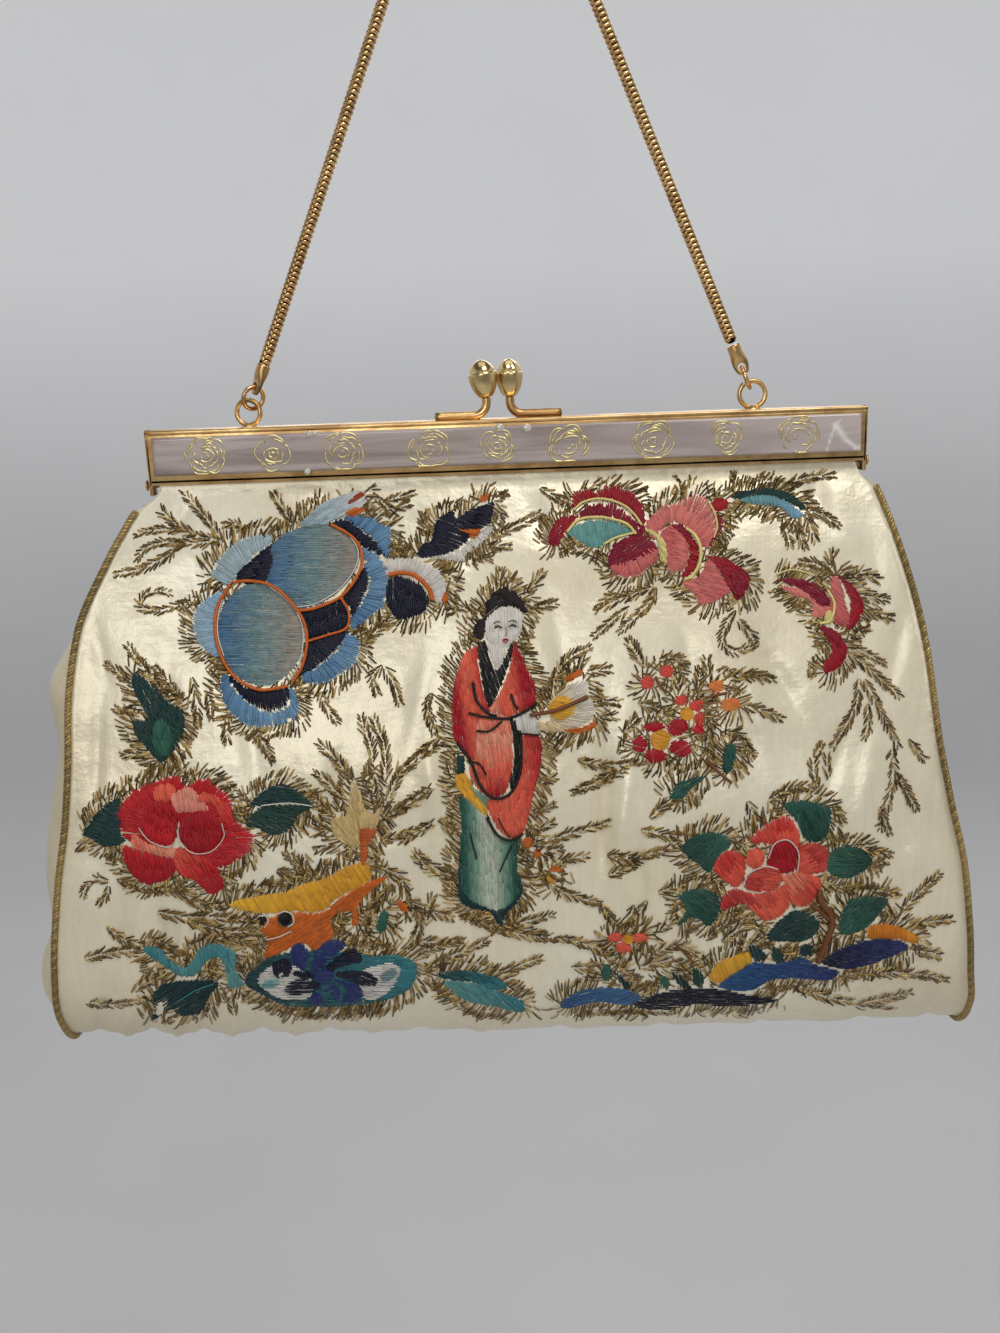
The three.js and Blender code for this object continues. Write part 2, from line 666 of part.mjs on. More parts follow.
function addMesh(parent, name, geometry, material) {
  const mesh = new THREE.Mesh(geometry, material);
  mesh.name = name;
  parent.add(mesh);
  return mesh;
}

// Satin body
addMesh(bag, "bag_panel", panelGeometry(), satin);
for (const { name, side } of handleEnds) {
  addMesh(bag, `gusset_${name}`, gussetGeometry(side), satin);
  addMesh(bag, `piping_${name}`, pipingGeometry(side), goldCord);
}

// Frame, pearl bars and hinge pins
addMesh(bag, "frame_front", frontFrameGeometry(), gilt);
addMesh(bag, "frame_back", backFrameGeometry(), gilt);
const recessDepth = halfGap / 2 + halfDepth - windowDepth + seat;
const pearlFoot = bottomRail + seat - frameHeight;
const frontPearl = addMesh(bag, "pearl_bar_front", pearlGeometry(-1, frontHalfLength), pearl);
frontPearl.position.set(0, -recessDepth, pearlFoot);
const backPearl = addMesh(bag, "pearl_bar_back", pearlGeometry(1, backHalfLength), pearl);
backPearl.position.set(0, recessDepth, pearlFoot);
for (const { name, side } of handleEnds) {
  const pin = addMesh(bag, `hinge_pin_${name}`, pinGeometry(), gilt);
  pin.position.set(side * (backHalfLength + seat), 0, hingeHeight);
  if (side < 0) pin.rotation.z = Math.PI;
}

// Clasp knobs on their stems
const frontKnob = addMesh(bag, "knob_front", knobGeometry(1), gilt);
frontKnob.position.set(stems.front.upX, -stemDepth, stemRise + seat);
frontKnob.rotation.y = radians(frontKnobTilt);
const backKnob = addMesh(bag, "knob_back", knobGeometry(backKnobScale), gilt);
backKnob.position.set(stems.back.upX, stemDepth, stemRise + seat);

// Jump rings and end caps, each on its own leg
for (const end of handleEnds) {
  const stations = legStations(end);
  const leg = new THREE.Group();
  leg.position.copy(stations.start);
  leg.rotation.y = stations.lean;
  const turned = new THREE.Group();
  turned.rotation.z = radians(end.ringTurn);
  leg.add(turned);
  const ringGeometry = new THREE.TorusGeometry(ringRadius, ringWire, wireSides, linkSegments);
  const ring = addMesh(turned, `jump_ring_${end.name}`, ringGeometry, gilt);
  ring.position.z = stations.ringAt;
  ring.rotation.x = Math.PI / 2;
  const cap = addMesh(turned, `end_cap_${end.name}`, capGeometry(), gilt);
  cap.position.z = stations.capAt;
  bag.add(leg);
}

// Snake chain
const chain = chainPath();
const chainCurve = new THREE.CatmullRomCurve3(chain.points, false, "centripetal");
const chainGeometry = rod(chainCurve, chainDiameter / 2, chainSides, chain.points.length - 1);
addMesh(bag, "snake_chain", chainGeometry, gilt);

// The origin is the underside of the chain's top bend, where the hook holds it
bag.position.set(-handleOffset, -middleDepth, chainDiameter / 2 - chain.top);
const purse = new THREE.Group();
purse.add(bag);

export default purse;
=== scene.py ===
"""Embroidered satin evening bag on a gilt box frame, hung by its snake chain."""

import math

import bmesh
import bpy
import numpy as np
from mathutils import Matrix, Vector
from mathutils.bvhtree import BVHTree


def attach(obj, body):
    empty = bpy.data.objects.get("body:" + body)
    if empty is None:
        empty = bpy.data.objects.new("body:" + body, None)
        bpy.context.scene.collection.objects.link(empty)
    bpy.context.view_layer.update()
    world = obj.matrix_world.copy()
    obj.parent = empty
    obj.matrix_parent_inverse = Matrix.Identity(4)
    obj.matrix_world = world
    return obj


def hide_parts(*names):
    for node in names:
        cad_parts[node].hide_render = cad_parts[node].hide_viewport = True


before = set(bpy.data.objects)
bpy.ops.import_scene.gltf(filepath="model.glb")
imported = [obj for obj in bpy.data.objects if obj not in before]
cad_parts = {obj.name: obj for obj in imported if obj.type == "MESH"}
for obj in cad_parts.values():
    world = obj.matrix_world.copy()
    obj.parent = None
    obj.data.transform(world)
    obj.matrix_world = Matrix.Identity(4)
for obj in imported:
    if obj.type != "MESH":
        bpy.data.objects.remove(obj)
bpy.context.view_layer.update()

# Sizes are in millimetres in the bag's own frame: heights from the frame's top edge, x from the
# frame's middle. HANG moves them to the hung bag's frame, whose origin lies in the chain's bend.
MM = 0.001
HANG = np.array([1.2, -2.6, -137.084])
rng = np.random.default_rng(11)

# Box frame
FRAME_LENGTH = 170.0
FRAME_HEIGHT = 12.6
HALF_DEPTH = 4.8
HALF_GAP = 0.4
END_FLARE = 0.4
TOP_RAIL = 1.1
BOTTOM_RAIL = 1.7
END_RAIL = 0.9
WINDOW_DEPTH = 1.0
BACK_REACH = FRAME_LENGTH / 2
FRONT_REACH = BACK_REACH - 1.0
LEG_DROP = 15.0
SLOT_FACE = 3.2
SLOT_REACH = 81.3

# Satin bag
BAG_DROP = 151.0
HALF_WIDTH = 110.0
BAG_DEPTH = 46.0
BAG_CROWN = 4.0
BAG_LEAN = 3.7
HANG_TILT = 0.022
PANEL_WALL = 2.0
SEAT = 0.3
BULGE = {-1: 9.0, 1: 5.6}
PIPING = 1.7
FALL = BAG_DROP - FRAME_HEIGHT

# Clasp, eyes, rings, caps and chain
STEM = 1.05
KNOB_RADIUS = 3.35
KNOB_HEIGHT = 8.7
EYE_WIRE = 0.6
RING_RADIUS = 2.6
RING_WIRE = 0.55
CHAIN = 3.0
SCALE_PITCH = 1.25
LEG_LEAN = math.radians(21.9)
CHAIN_BEND = 8.0
MIDDLE_DEPTH = 2.6
CAP_LENGTH = 7.4
CAP_WIDTH = 3.7
ENDS = [
    {"side": -1, "eye": 2.9, "eye_turn": -14, "ring_turn": 37, "slack": 0.45},
    {"side": 1, "eye": 3.1, "eye_turn": 0, "ring_turn": 80, "slack": 0.0},
]
EYE_SPREAD = BACK_REACH - 25.25
HANDLE_OFFSET = -1.2

# Rows of the bag from the frame to the middle of its base, as shares
SECTION = np.array([
    # drop, width, depth, crown, lean, bulge left, bulge right
    (0.020, 0.04, 0.170, 0.00, 0.00, 0.00, 0.00),
    (0.045, 0.16, 0.235, 0.08, 0.18, 0.05, 0.05),
    (0.082, 0.25, 0.325, 0.15, 0.36, 0.12, 0.12),
    (0.130, 0.35, 0.440, 0.28, 0.58, 0.25, 0.20),
    (0.240, 0.54, 0.610, 0.50, 0.97, 0.42, 0.45),
    (0.345, 0.62, 0.765, 0.72, 1.00, 1.00, 0.75),
    (0.450, 0.66, 0.880, 0.90, 0.90, 0.80, 0.90),
    (0.555, 0.73, 0.962, 1.00, 0.76, 0.98, 1.00),
    (0.668, 0.84, 1.000, 1.00, 0.68, 0.90, 1.00),
    (0.775, 0.91, 0.982, 0.90, 0.74, 0.56, 0.90),
    (0.862, 0.96, 0.887, 0.75, 0.76, 0.86, 0.80),
    (0.928, 1.00, 0.713, 0.55, 0.62, 0.74, 0.55),
    (0.975, 1.00, 0.470, 0.35, 0.54, 0.40, 0.25),
    (0.996, 1.00, 0.217, 0.25, 0.54, 0.12, 0.08),
    (1.000, 1.00, 0.000, 0.25, 0.54, 0.00, 0.00),
])
FOLDS = [
    # face, across, drop, wide, tall, deep, slant
    (-1, -0.72, 0.16, 0.045, 0.10, 0.40, -20),
    (-1, -0.40, 0.12, 0.050, 0.12, 0.30, -8),
    (-1, 0.45, 0.13, 0.050, 0.12, 0.35, 12),
    (-1, 0.18, 0.62, 0.040, 0.15, 0.40, 6),
    (-1, 0.62, 0.46, 0.080, 0.05, 0.30, 10),
    (-1, -0.80, 0.76, 0.050, 0.10, 0.45, -14),
    (-1, 0.82, 0.74, 0.045, 0.14, 0.35, 10),
    (-1, -0.30, 0.83, 0.060, 0.06, -0.30, 0),
    (1, -0.50, 0.30, 0.060, 0.16, 0.45, 12),
    (1, 0.35, 0.48, 0.070, 0.14, 0.40, -8),
    (1, 0.74, 0.70, 0.050, 0.12, 0.40, 10),
]

# Camera, as fitted to the picture: its size and the focal length in pixels, then the eye's place
PICTURE = (1000, 1333)
FOCAL = 1500.0
EYE = np.array([-13.135, -357.87, 13.16])
YAW, PITCH, ROLL = math.radians(1.5), math.radians(-11.5), -0.0343


def camera_axes():
    level = math.cos(PITCH)
    forward = np.array([math.sin(YAW) * level, math.cos(YAW) * level, math.sin(PITCH)])
    flat = np.array([math.cos(YAW), -math.sin(YAW), 0.0])
    tall = np.cross(flat, forward)
    right = math.cos(ROLL) * flat + math.sin(ROLL) * tall
    up = -math.sin(ROLL) * flat + math.cos(ROLL) * tall
    return right, up, forward


RIGHT, UP, FORWARD = camera_axes()


def metres(points):
    return (np.asarray(points, float) + HANG) * MM


def project(points):
    """Picture coordinates of points in the bag's frame."""
    d = np.asarray(points, float) - EYE
    depth = d @ FORWARD
    return PICTURE[0] / 2 + FOCAL * (d @ RIGHT) / depth, PICTURE[1] / 2 - FOCAL * (d @ UP) / depth


def unit(v):
    return v / np.maximum(np.linalg.norm(v, axis=-1, keepdims=True), 1e-9)


def cos_sin(degrees):
    angle = math.radians(degrees)
    return math.cos(angle), math.sin(angle)


def lengths(line):
    """Lengths of the steps of a line."""
    return np.linalg.norm(np.diff(line, axis=0), axis=1)


def distances(steps):
    """Distance of each point of a line from its start, from the lengths of its steps."""
    return np.concatenate([[0], np.cumsum(steps)])


def sample(line, run, at):
    """Points of a line at the given distances."""
    return np.stack([np.interp(at, run, line[:, k]) for k in range(line.shape[1])], 1)


# Meshes
def make_object(name, points, faces, material, slot, replaces=(), attributes=None):
    """A smooth mesh object from points in the bag's frame."""
    mesh = bpy.data.meshes.new(name)
    points = metres(points).astype(np.float32)
    faces = np.asarray(faces, np.int32)
    count, corners = faces.shape
    mesh.vertices.add(len(points))
    mesh.vertices.foreach_set("co", points.ravel())
    mesh.loops.add(count * corners)
    mesh.loops.foreach_set("vertex_index", faces.ravel())
    mesh.polygons.add(count)
    mesh.polygons.foreach_set("loop_start", np.arange(0, count * corners, corners, dtype=np.int32))
    mesh.polygons.foreach_set("use_smooth", np.full(count, True))
    mesh.update(calc_edges=True)
    for key, values in (attributes or {}).items():
        values = np.asarray(values, np.float32)
        if values.ndim == 2:
            layer = mesh.attributes.new(key, "FLOAT_COLOR", "POINT")
            rgba = np.concatenate([values, np.ones((len(values), 1), np.float32)], axis=1)
            layer.data.foreach_set("color", rgba.ravel())
        else:
            layer = mesh.attributes.new(key, "FLOAT", "POINT")
            layer.data.foreach_set("value", values)
    mesh.materials.append(material)
    made = bpy.data.objects.new(name, mesh)
    bpy.context.collection.objects.link(made)
    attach(made, "root")
    if replaces:
        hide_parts(*replaces)
    return made


def grid_faces(rows, columns, wrap=False):
    """Four-cornered faces of a grid of points, row by row."""
    r = np.arange(rows - 1)[:, None] * columns
    c = np.arange(columns if wrap else columns - 1)[None, :]
    n = (c + 1) % columns
    corners = np.broadcast_arrays(r + c, r + n, r + columns + n, r + columns + c)
    return np.stack(corners, -1).reshape(-1, 4)


def triangles(quads):
    return np.concatenate([quads[:, [0, 1, 2]], quads[:, [0, 2, 3]]])


class Parts:
    """Collects meshes into one, all as triangles."""

    def __init__(self):
        self.points, self.faces, self.count, self.extra = [], [], 0, {}

    def add(self, points, faces, **extra):
        points = np.asarray(points, float).reshape(-1, 3)
        faces = np.asarray(faces, int)
        if faces.shape[1] == 4:
            faces = triangles(faces)
        self.points.append(points)
        self.faces.append(faces + self.count)
        self.count += len(points)
        for key, value in extra.items():
            self.extra.setdefault(key, []).append(value)

    def build(self, name, material, slot, **more):
        attributes = {key: np.concatenate(value) for key, value in self.extra.items()}
        return make_object(name, np.concatenate(self.points), np.concatenate(self.faces), material, slot,
                           attributes=attributes, **more)


def path_frames(path, start=(0.0, 0.0, 1.0)):
    """Tangent, normal and binormal along a path, turning as little as possible."""
    path = np.asarray(path, float)
    tangent = unit(np.gradient(path, axis=0))
    normal = np.array(start, float)
    if abs(normal @ tangent[0]) > 0.95:
        normal = np.array([0.0, 1.0, 0.0])
    normals = []
    for t in tangent:
        normal = normal - (normal @ t) * t
        normal = normal / np.linalg.norm(normal)
        normals.append(normal)
    normals = np.array(normals)
    return tangent, normals, np.cross(tangent, normals)


CAP_RISE = 0.3     # height of a wire's end cap, as a share of its radius


def tube(path, radius, sides=10, start=(0.0, 0.0, 1.0), flat=1.0):
    """A round wire along a path, closed by small caps. radius may be one value for each point."""
    path = np.asarray(path, float)
    tangent, normal, binormal = path_frames(path, start)
    radius = np.broadcast_to(radius, len(path))
    angle = np.linspace(0, math.tau, sides, endpoint=False)[None, :, None]
    ring = np.cos(angle) * normal[:, None] * flat + np.sin(angle) * binormal[:, None]
    points = path[:, None] + radius[:, None, None] * ring
    ends = np.stack([path[0] - tangent[0] * radius[0] * CAP_RISE,
                     path[-1] + tangent[-1] * radius[-1] * CAP_RISE])
    faces = triangles(grid_faces(len(path), sides, wrap=True))
    k = np.arange(sides)
    first, last = len(path) * sides, len(path) * sides + 1
    base = (len(path) - 1) * sides
    cap = np.concatenate([
        np.stack([np.full(sides, first), (k + 1) % sides, k], 1),
        np.stack([np.full(sides, last), base + k, base + (k + 1) % sides], 1),
    ])
    return np.concatenate([points.reshape(-1, 3), ends]), np.concatenate([faces, cap])


def ring(centre, radius, wire, axis, start, sweep):
    """A wire ring about an axis, cut where its sweep leaves it open."""
    axis = unit(np.array(axis, float))
    a = unit(np.cross(axis, [0.3, 1.0, 0.2] if abs(axis[1]) < 0.9 else [1.0, 0.0, 0.2]))
    b = np.cross(axis, a)
    angle = start + np.linspace(0, sweep, 56)
    path = np.array(centre) + radius * (np.cos(angle)[:, None] * a + np.sin(angle)[:, None] * b)
    return tube(path, wire, 12, start=axis)


def lathe(profile, segments, flute=0.0, flutes=0):
    """A solid turned about Z from (out, up) pairs, with optional shallow flutes."""
    profile = np.asarray(profile, float)
    angle = np.linspace(0, math.tau, segments, endpoint=False)
    out = profile[:, 0][:, None] * (1 + flute * np.cos(flutes * angle)[None, :])
    up = np.repeat(profile[:, 1][:, None], segments, 1)
    points = np.stack([out * np.cos(angle), out * np.sin(angle), up], -1)
    return points.reshape(-1, 3), triangles(grid_faces(len(profile), segments, wrap=True))


def smooth_line(points, steps=8, closed=False):
    """Catmull-Rom curve through points, of any dimension."""
    p = np.asarray(points, float)
    ends = (p[-1:], p[:2]) if closed else (2 * p[:1] - p[1:2], 2 * p[-1:] - p[-2:-1])
    p = np.concatenate([ends[0], p, ends[1]])
    t = np.linspace(0, 1, steps, endpoint=False)[None, :, None]
    a, b, c, d = p[:-3, None], p[1:-2, None], p[2:-1, None], p[3:, None]
    line = 0.5 * (2 * b + (c - a) * t + (2 * a - 5 * b + 4 * c - d) * t ** 2
                  + (3 * b - a - 3 * c + d) * t ** 3)
    line = line.reshape(-1, p.shape[1])
    return line if closed else np.concatenate([line, p[-2:-1]])


def mesh_arrays(bm):
    """Points and triangles of an edited mesh, which is then freed."""
    bmesh.ops.triangulate(bm, faces=bm.faces[:])
    bm.verts.index_update()
    points = np.array([v.co for v in bm.verts])
    faces = np.array([[v.index for v in f.verts] for f in bm.faces])
    bm.free()
    return points, faces


def box(x0, x1, y0, y1, z0, z1, edge, segments=3):
    """A bar with rounded edges."""
    bm = bmesh.new()
    bmesh.ops.create_cube(bm, size=1.0)
    size = Vector((x1 - x0, y1 - y0, z1 - z0))
    middle = Vector(((x0 + x1) / 2, (y0 + y1) / 2, (z0 + z1) / 2))
    for v in bm.verts:
        v.co = middle + Vector(a * b for a, b in zip(v.co, size))
    bmesh.ops.bevel(bm, geom=bm.edges[:], offset=edge, segments=segments, profile=0.5, affect="EDGES")
    return mesh_arrays(bm)


# Materials
class Nodes:
    """Short forms for building a material's nodes."""

    def __init__(self, name):
        self.material = bpy.data.materials.new(name)
        self.material.use_nodes = True
        self.tree = self.material.node_tree
        self.tree.nodes.clear()
        self.output = self.tree.nodes.new("ShaderNodeOutputMaterial")
        self.shader = self.tree.nodes.new("ShaderNodeBsdfPrincipled")
        self.tree.links.new(self.shader.outputs[0], self.output.inputs["Surface"])
        self.position = self.node("ShaderNodeTexCoord").outputs["Object"]

    def node(self, kind, values=None, **settings):
        made = self.tree.nodes.new(kind)
        for key, value in settings.items():
            setattr(made, key, value)
        for key, value in (values or {}).items():
            self.feed(made.inputs[key], value)
        return made

    def feed(self, socket, value):
        if isinstance(value, bpy.types.NodeSocket):
            self.tree.links.new(value, socket)
        elif isinstance(value, tuple) and len(value) == 3 and socket.type == "RGBA":
            socket.default_value = (*value, 1.0)
        else:
            socket.default_value = value

    def set(self, **values):
        for key, value in values.items():
            self.feed(self.shader.inputs[key.replace("_", " ")], value)

    def noise(self, scale, detail=4.0, roughness=0.55, stretch=(1, 1, 1), distortion=0.0):
        where = self.node("ShaderNodeMapping", {"Vector": self.position, "Scale": stretch}).outputs[0]
        values = {"Vector": where, "Scale": scale, "Detail": detail, "Roughness": roughness,
                  "Distortion": distortion}
        return self.node("ShaderNodeTexNoise", values).outputs["Fac"]

    def ramp(self, value, stops):
        made = self.node("ShaderNodeValToRGB", {"Fac": value})
        ramp = made.color_ramp
        while len(ramp.elements) < len(stops):
            ramp.elements.new(0.5)
        for element, (at, colour) in zip(ramp.elements, stops):
            element.position = at
            element.color = (*colour, 1.0) if isinstance(colour, tuple) else (colour, colour, colour, 1.0)
        return made.outputs["Color"]

    def mix(self, factor, a, b, blend="MIX"):
        made = self.node("ShaderNodeMix", data_type="RGBA", blend_type=blend)
        self.feed(made.inputs["Factor"], factor)
        self.feed(made.inputs["A"], a)
        self.feed(made.inputs["B"], b)
        return made.outputs["Result"]

    def math(self, operation, a, b=0.0, c=0.0):
        made = self.node("ShaderNodeMath", operation=operation)
        for socket, value in zip(made.inputs, (a, b, c)):
            self.feed(socket, value)
        return made.outputs[0]

    def bump(self, height, distance, strength=1.0, under=None):
        made = self.node("ShaderNodeBump", {"Height": height, "Distance": distance, "Strength": strength})
        if under is not None:
            self.feed(made.inputs["Normal"], under)
        return made.outputs["Normal"]

    def attribute(self, name, output="Color"):
        return self.node("ShaderNodeAttribute", attribute_name=name).outputs[output]


def satin_material():
    """Ivory satin, yellowed in blotches, with a fine weave."""
    n = Nodes("ivory_satin")
    shade = n.attribute("shade")
    blotch = n.noise(22.0, 5.0, 0.6)
    aged = n.ramp(blotch, [(0.35, (0.82, 0.73, 0.53)), (0.55, (0.88, 0.81, 0.62)),
                           (0.75, (0.91, 0.86, 0.70))])
    fine = n.noise(900.0, 2.0, 0.5, stretch=(1.0, 1.0, 0.12))
    # the shade attribute multiplies in the stains and the painted shade along the base
    colour = n.mix(0.85, aged, shade, "MULTIPLY")
    colour = n.mix(0.14, colour, n.ramp(fine, [(0.3, 0.55), (0.7, 1.0)]), "MULTIPLY")
    warp = n.noise(1400.0, 1.0, 0.5, stretch=(1, 1, 0.15))
    weave = n.math("ADD", warp, n.noise(1100.0, 1.0, 0.5, stretch=(0.15, 1, 1)))
    soft = n.bump(n.noise(160.0, 4.0, 0.55), 0.0009, 0.45)
    normal = n.bump(weave, 0.00008, 0.35, soft)
    n.set(Base_Color=colour, Roughness=0.37, Metallic=0.2, Normal=normal, Sheen_Weight=0.15,
          Sheen_Roughness=0.4, Specular_IOR_Level=0.6, Anisotropic=0.5)
    return n.material


# near-black colour for painted shade in grooves and gaps
GROOVE_SHADE = (0.012, 0.006, 0.002)


def metal_material(name, bright, dark, worn, roughness, wear, scale, scratch=0.3):
    """Gilt metal: bright gold, darker tarnish in patches, a brown worn base where the gilt is gone, and
    painted near-black shade in grooves.
    """
    n = Nodes(name)
    patch = n.noise(scale, 6.0, 0.62, distortion=0.4)
    colour = n.ramp(patch, [(0.3, dark), (0.55, bright), (0.8, bright)])
    rub = n.noise(scale * 0.45, 5.0, 0.7, stretch=(0.35, 1, 1.4), distortion=0.8)
    rub = n.ramp(rub, [(0.5 - 0.15 * wear, 0.0), (0.62, 1.0)])
    colour = n.mix(n.math("MULTIPLY", rub, wear), colour, worn)
    # painted shade: the colour turns near-black where the mesh marks grooves and gaps
    colour = n.mix(n.attribute("groove", "Fac"), colour, GROOVE_SHADE)
    grain = n.noise(1500.0, 2.0, 0.6, stretch=(0.2, 1, 1))
    rough = n.math("ADD", n.math("MULTIPLY", rub, 0.22 * wear), roughness)
    rough = n.math("ADD", rough, n.math("MULTIPLY", grain, 0.08))
    dents = n.bump(n.noise(scale * 1.8, 3.0, 0.5), 0.0004, scratch)
    n.set(Base_Color=colour, Metallic=1.0, Roughness=rough, Normal=n.bump(grain, 0.00003, 0.3, dents))
    return n.material


def pearl_material():
    """Mauve-grey pearl plastic in soft streaks, paler at one end, with painted highlights along its crinkles.
    """
    n = Nodes("pearl_plastic")
    streak = n.noise(55.0, 5.0, 0.6, stretch=(0.22, 1.0, 2.2), distortion=1.2)
    colour = n.ramp(streak, [(0.3, (0.17, 0.125, 0.11)), (0.48, (0.30, 0.235, 0.215)),
                             (0.6, (0.46, 0.385, 0.36)), (0.8, (0.27, 0.215, 0.18))])
    along = n.node("ShaderNodeSeparateXYZ", {"Vector": n.position}).outputs["X"]
    paler = n.ramp(n.math("MULTIPLY_ADD", along, 6.0, 0.5), [(0.45, 0.0), (1.0, 0.55)])
    colour = n.mix(paler, colour, (0.64, 0.55, 0.54))
    # painted highlight: near-white where the crinkles catch the light
    colour = n.mix(n.attribute("crinkle_highlight", "Fac"), colour, (0.86, 0.83, 0.80))
    wave = n.noise(40.0, 3.0, 0.5, stretch=(0.3, 1, 1.6), distortion=0.6)
    n.set(Base_Color=colour, Roughness=0.3, Normal=n.bump(wave, 0.0012, 0.4), Coat_Weight=0.35,
          Coat_Roughness=0.12, Specular_IOR_Level=0.5)
    return n.material


def thread_material(name, metallic, roughness, twist):
    """Thread coloured by each stitch, with a fine twist along it."""
    n = Nodes(name)
    along = n.attribute("along", "Fac")
    ply = n.math("SINE", n.math("MULTIPLY", along, math.tau))
    lint = n.ramp(n.noise(700.0, 2.0, 0.6), [(0.25, 0.35), (0.7, 1.0)])
    n.set(Base_Color=n.mix(0.35, n.attribute("tint"), lint, "MULTIPLY"), Metallic=metallic,
          Roughness=roughness, Normal=n.bump(ply, 0.00004, twist), Anisotropic=0.4, Specular_IOR_Level=0.35)
    return n.material


SATIN = satin_material()
PEARL = pearl_material()
# Metals: bright, tarnished and worn colour, then roughness, wear, size of the patches and scratches
GILT, CLASP, CHAIN_METAL, FOIL = (metal_material(*row) for row in [
    ("gilt_frame", (0.92, 0.64, 0.29), (0.50, 0.29, 0.11), (0.32, 0.16, 0.06), 0.25, 0.8, 150.0),
    ("gilt_clasp", (0.93, 0.72, 0.36), (0.74, 0.52, 0.22), (0.50, 0.33, 0.15), 0.12, 0.3, 220.0, 0.08),
    ("gilt_chain", (0.86, 0.56, 0.26), (0.52, 0.30, 0.12), (0.34, 0.19, 0.08), 0.24, 0.4, 260.0, 0.1),
    ("gold_foil", (0.86, 0.74, 0.38), (0.66, 0.52, 0.22), (0.46, 0.38, 0.20), 0.34, 0.35, 380.0, 0.2),
])
SILK = thread_material("silk_thread", 0.0, 0.40, 0.5)
GOLD = thread_material("gold_thread", 0.5, 0.33, 0.8)


# Satin surface
def column(index):
    """Smooth curve through one column of the section, without overshoot."""
    values = SECTION[:, index]
    slopes = np.diff(values)
    tangents = np.concatenate([slopes[:1], np.zeros(len(values) - 2), slopes[-1:]])
    before, after = slopes[:-1], slopes[1:]
    same = before * after > 0
    tangents[1:-1][same] = 2 * before[same] * after[same] / (before[same] + after[same])

    def read(at):
        i = np.clip(np.floor(at).astype(int), 0, len(values) - 2)
        t = at - i
        return ((2 * t ** 3 - 3 * t ** 2 + 1) * values[i] + (t ** 3 - 2 * t ** 2 + t) * tangents[i]
                + (3 * t ** 2 - 2 * t ** 3) * values[i + 1] + (t ** 3 - t ** 2) * tangents[i + 1])

    return read


DROP, WIDTH, DEPTH, CROWN, LEAN, BULGE_LEFT, BULGE_RIGHT = (column(k) for k in range(7))
LAST = len(SECTION) - 1.0


def seam_line(at, face):
    """Depth and height of a face at a row."""
    return face * DEPTH(at) * BAG_DEPTH / 2, -FRAME_HEIGHT - DROP(at) * FALL


def seam_normal(at, face):
    """Outward direction of a face at a row."""
    nudge = 0.02
    y0, z0 = seam_line(np.maximum(at - nudge, 0), face)
    y1, z1 = seam_line(np.minimum(at + nudge, LAST), face)
    dy, dz = y1 - y0, z1 - z0
    length = np.maximum(np.hypot(dy, dz), 1e-9)
    base = at > LAST - nudge
    return np.where(base, 0.0, -face * dz / length), np.where(base, -1.0, face * dy / length)


def fold_depth(face, across, drop):
    """Depth of the folds of a face."""
    total = 0.0
    for fold_face, at_across, at_drop, wide, tall, deep, slant in FOLDS:
        if fold_face != face:
            continue
        sideways, down = (across - at_across) * HALF_WIDTH, (drop - at_drop) * FALL
        c, s = cos_sin(slant)
        u = (sideways * c + down * s) / (wide * 2 * HALF_WIDTH)
        v = (down * c - sideways * s) / (tall * FALL)
        total = total + deep * BAG_CROWN * np.exp(-u * u - v * v)
    return total


def panel_point(at, face, across, push=0.0):
    """Place on the panel, pushed outwards: the row, the face and -1 to 1 across."""
    y, z = seam_line(at, face)
    ny, nz = seam_normal(at, face)
    drop = DROP(at)
    rise = 1 - across ** 2
    swell = (CROWN(at) * BAG_CROWN - fold_depth(face, across, drop)) * rise + push
    x = across * (SLOT_REACH + WIDTH(at) * (HALF_WIDTH - SLOT_REACH)) - LEAN(at) * BAG_LEAN
    return np.stack([x, y + ny * swell, z - HANG_TILT * across * drop * FALL + nz * swell], -1)


def even_rows(count, face, start=0.0):
    """Row numbers spaced evenly along the cloth."""
    at = np.linspace(start, LAST, 2000)
    y, z = seam_line(at, face)
    run = distances(np.hypot(np.diff(y), np.diff(z)))
    return np.interp(np.linspace(0, run[-1], count), run, at)


def grid_normals(points):
    """Unit normals of a grid of points."""
    return unit(np.cross(np.gradient(points, axis=1), np.gradient(points, axis=0)))


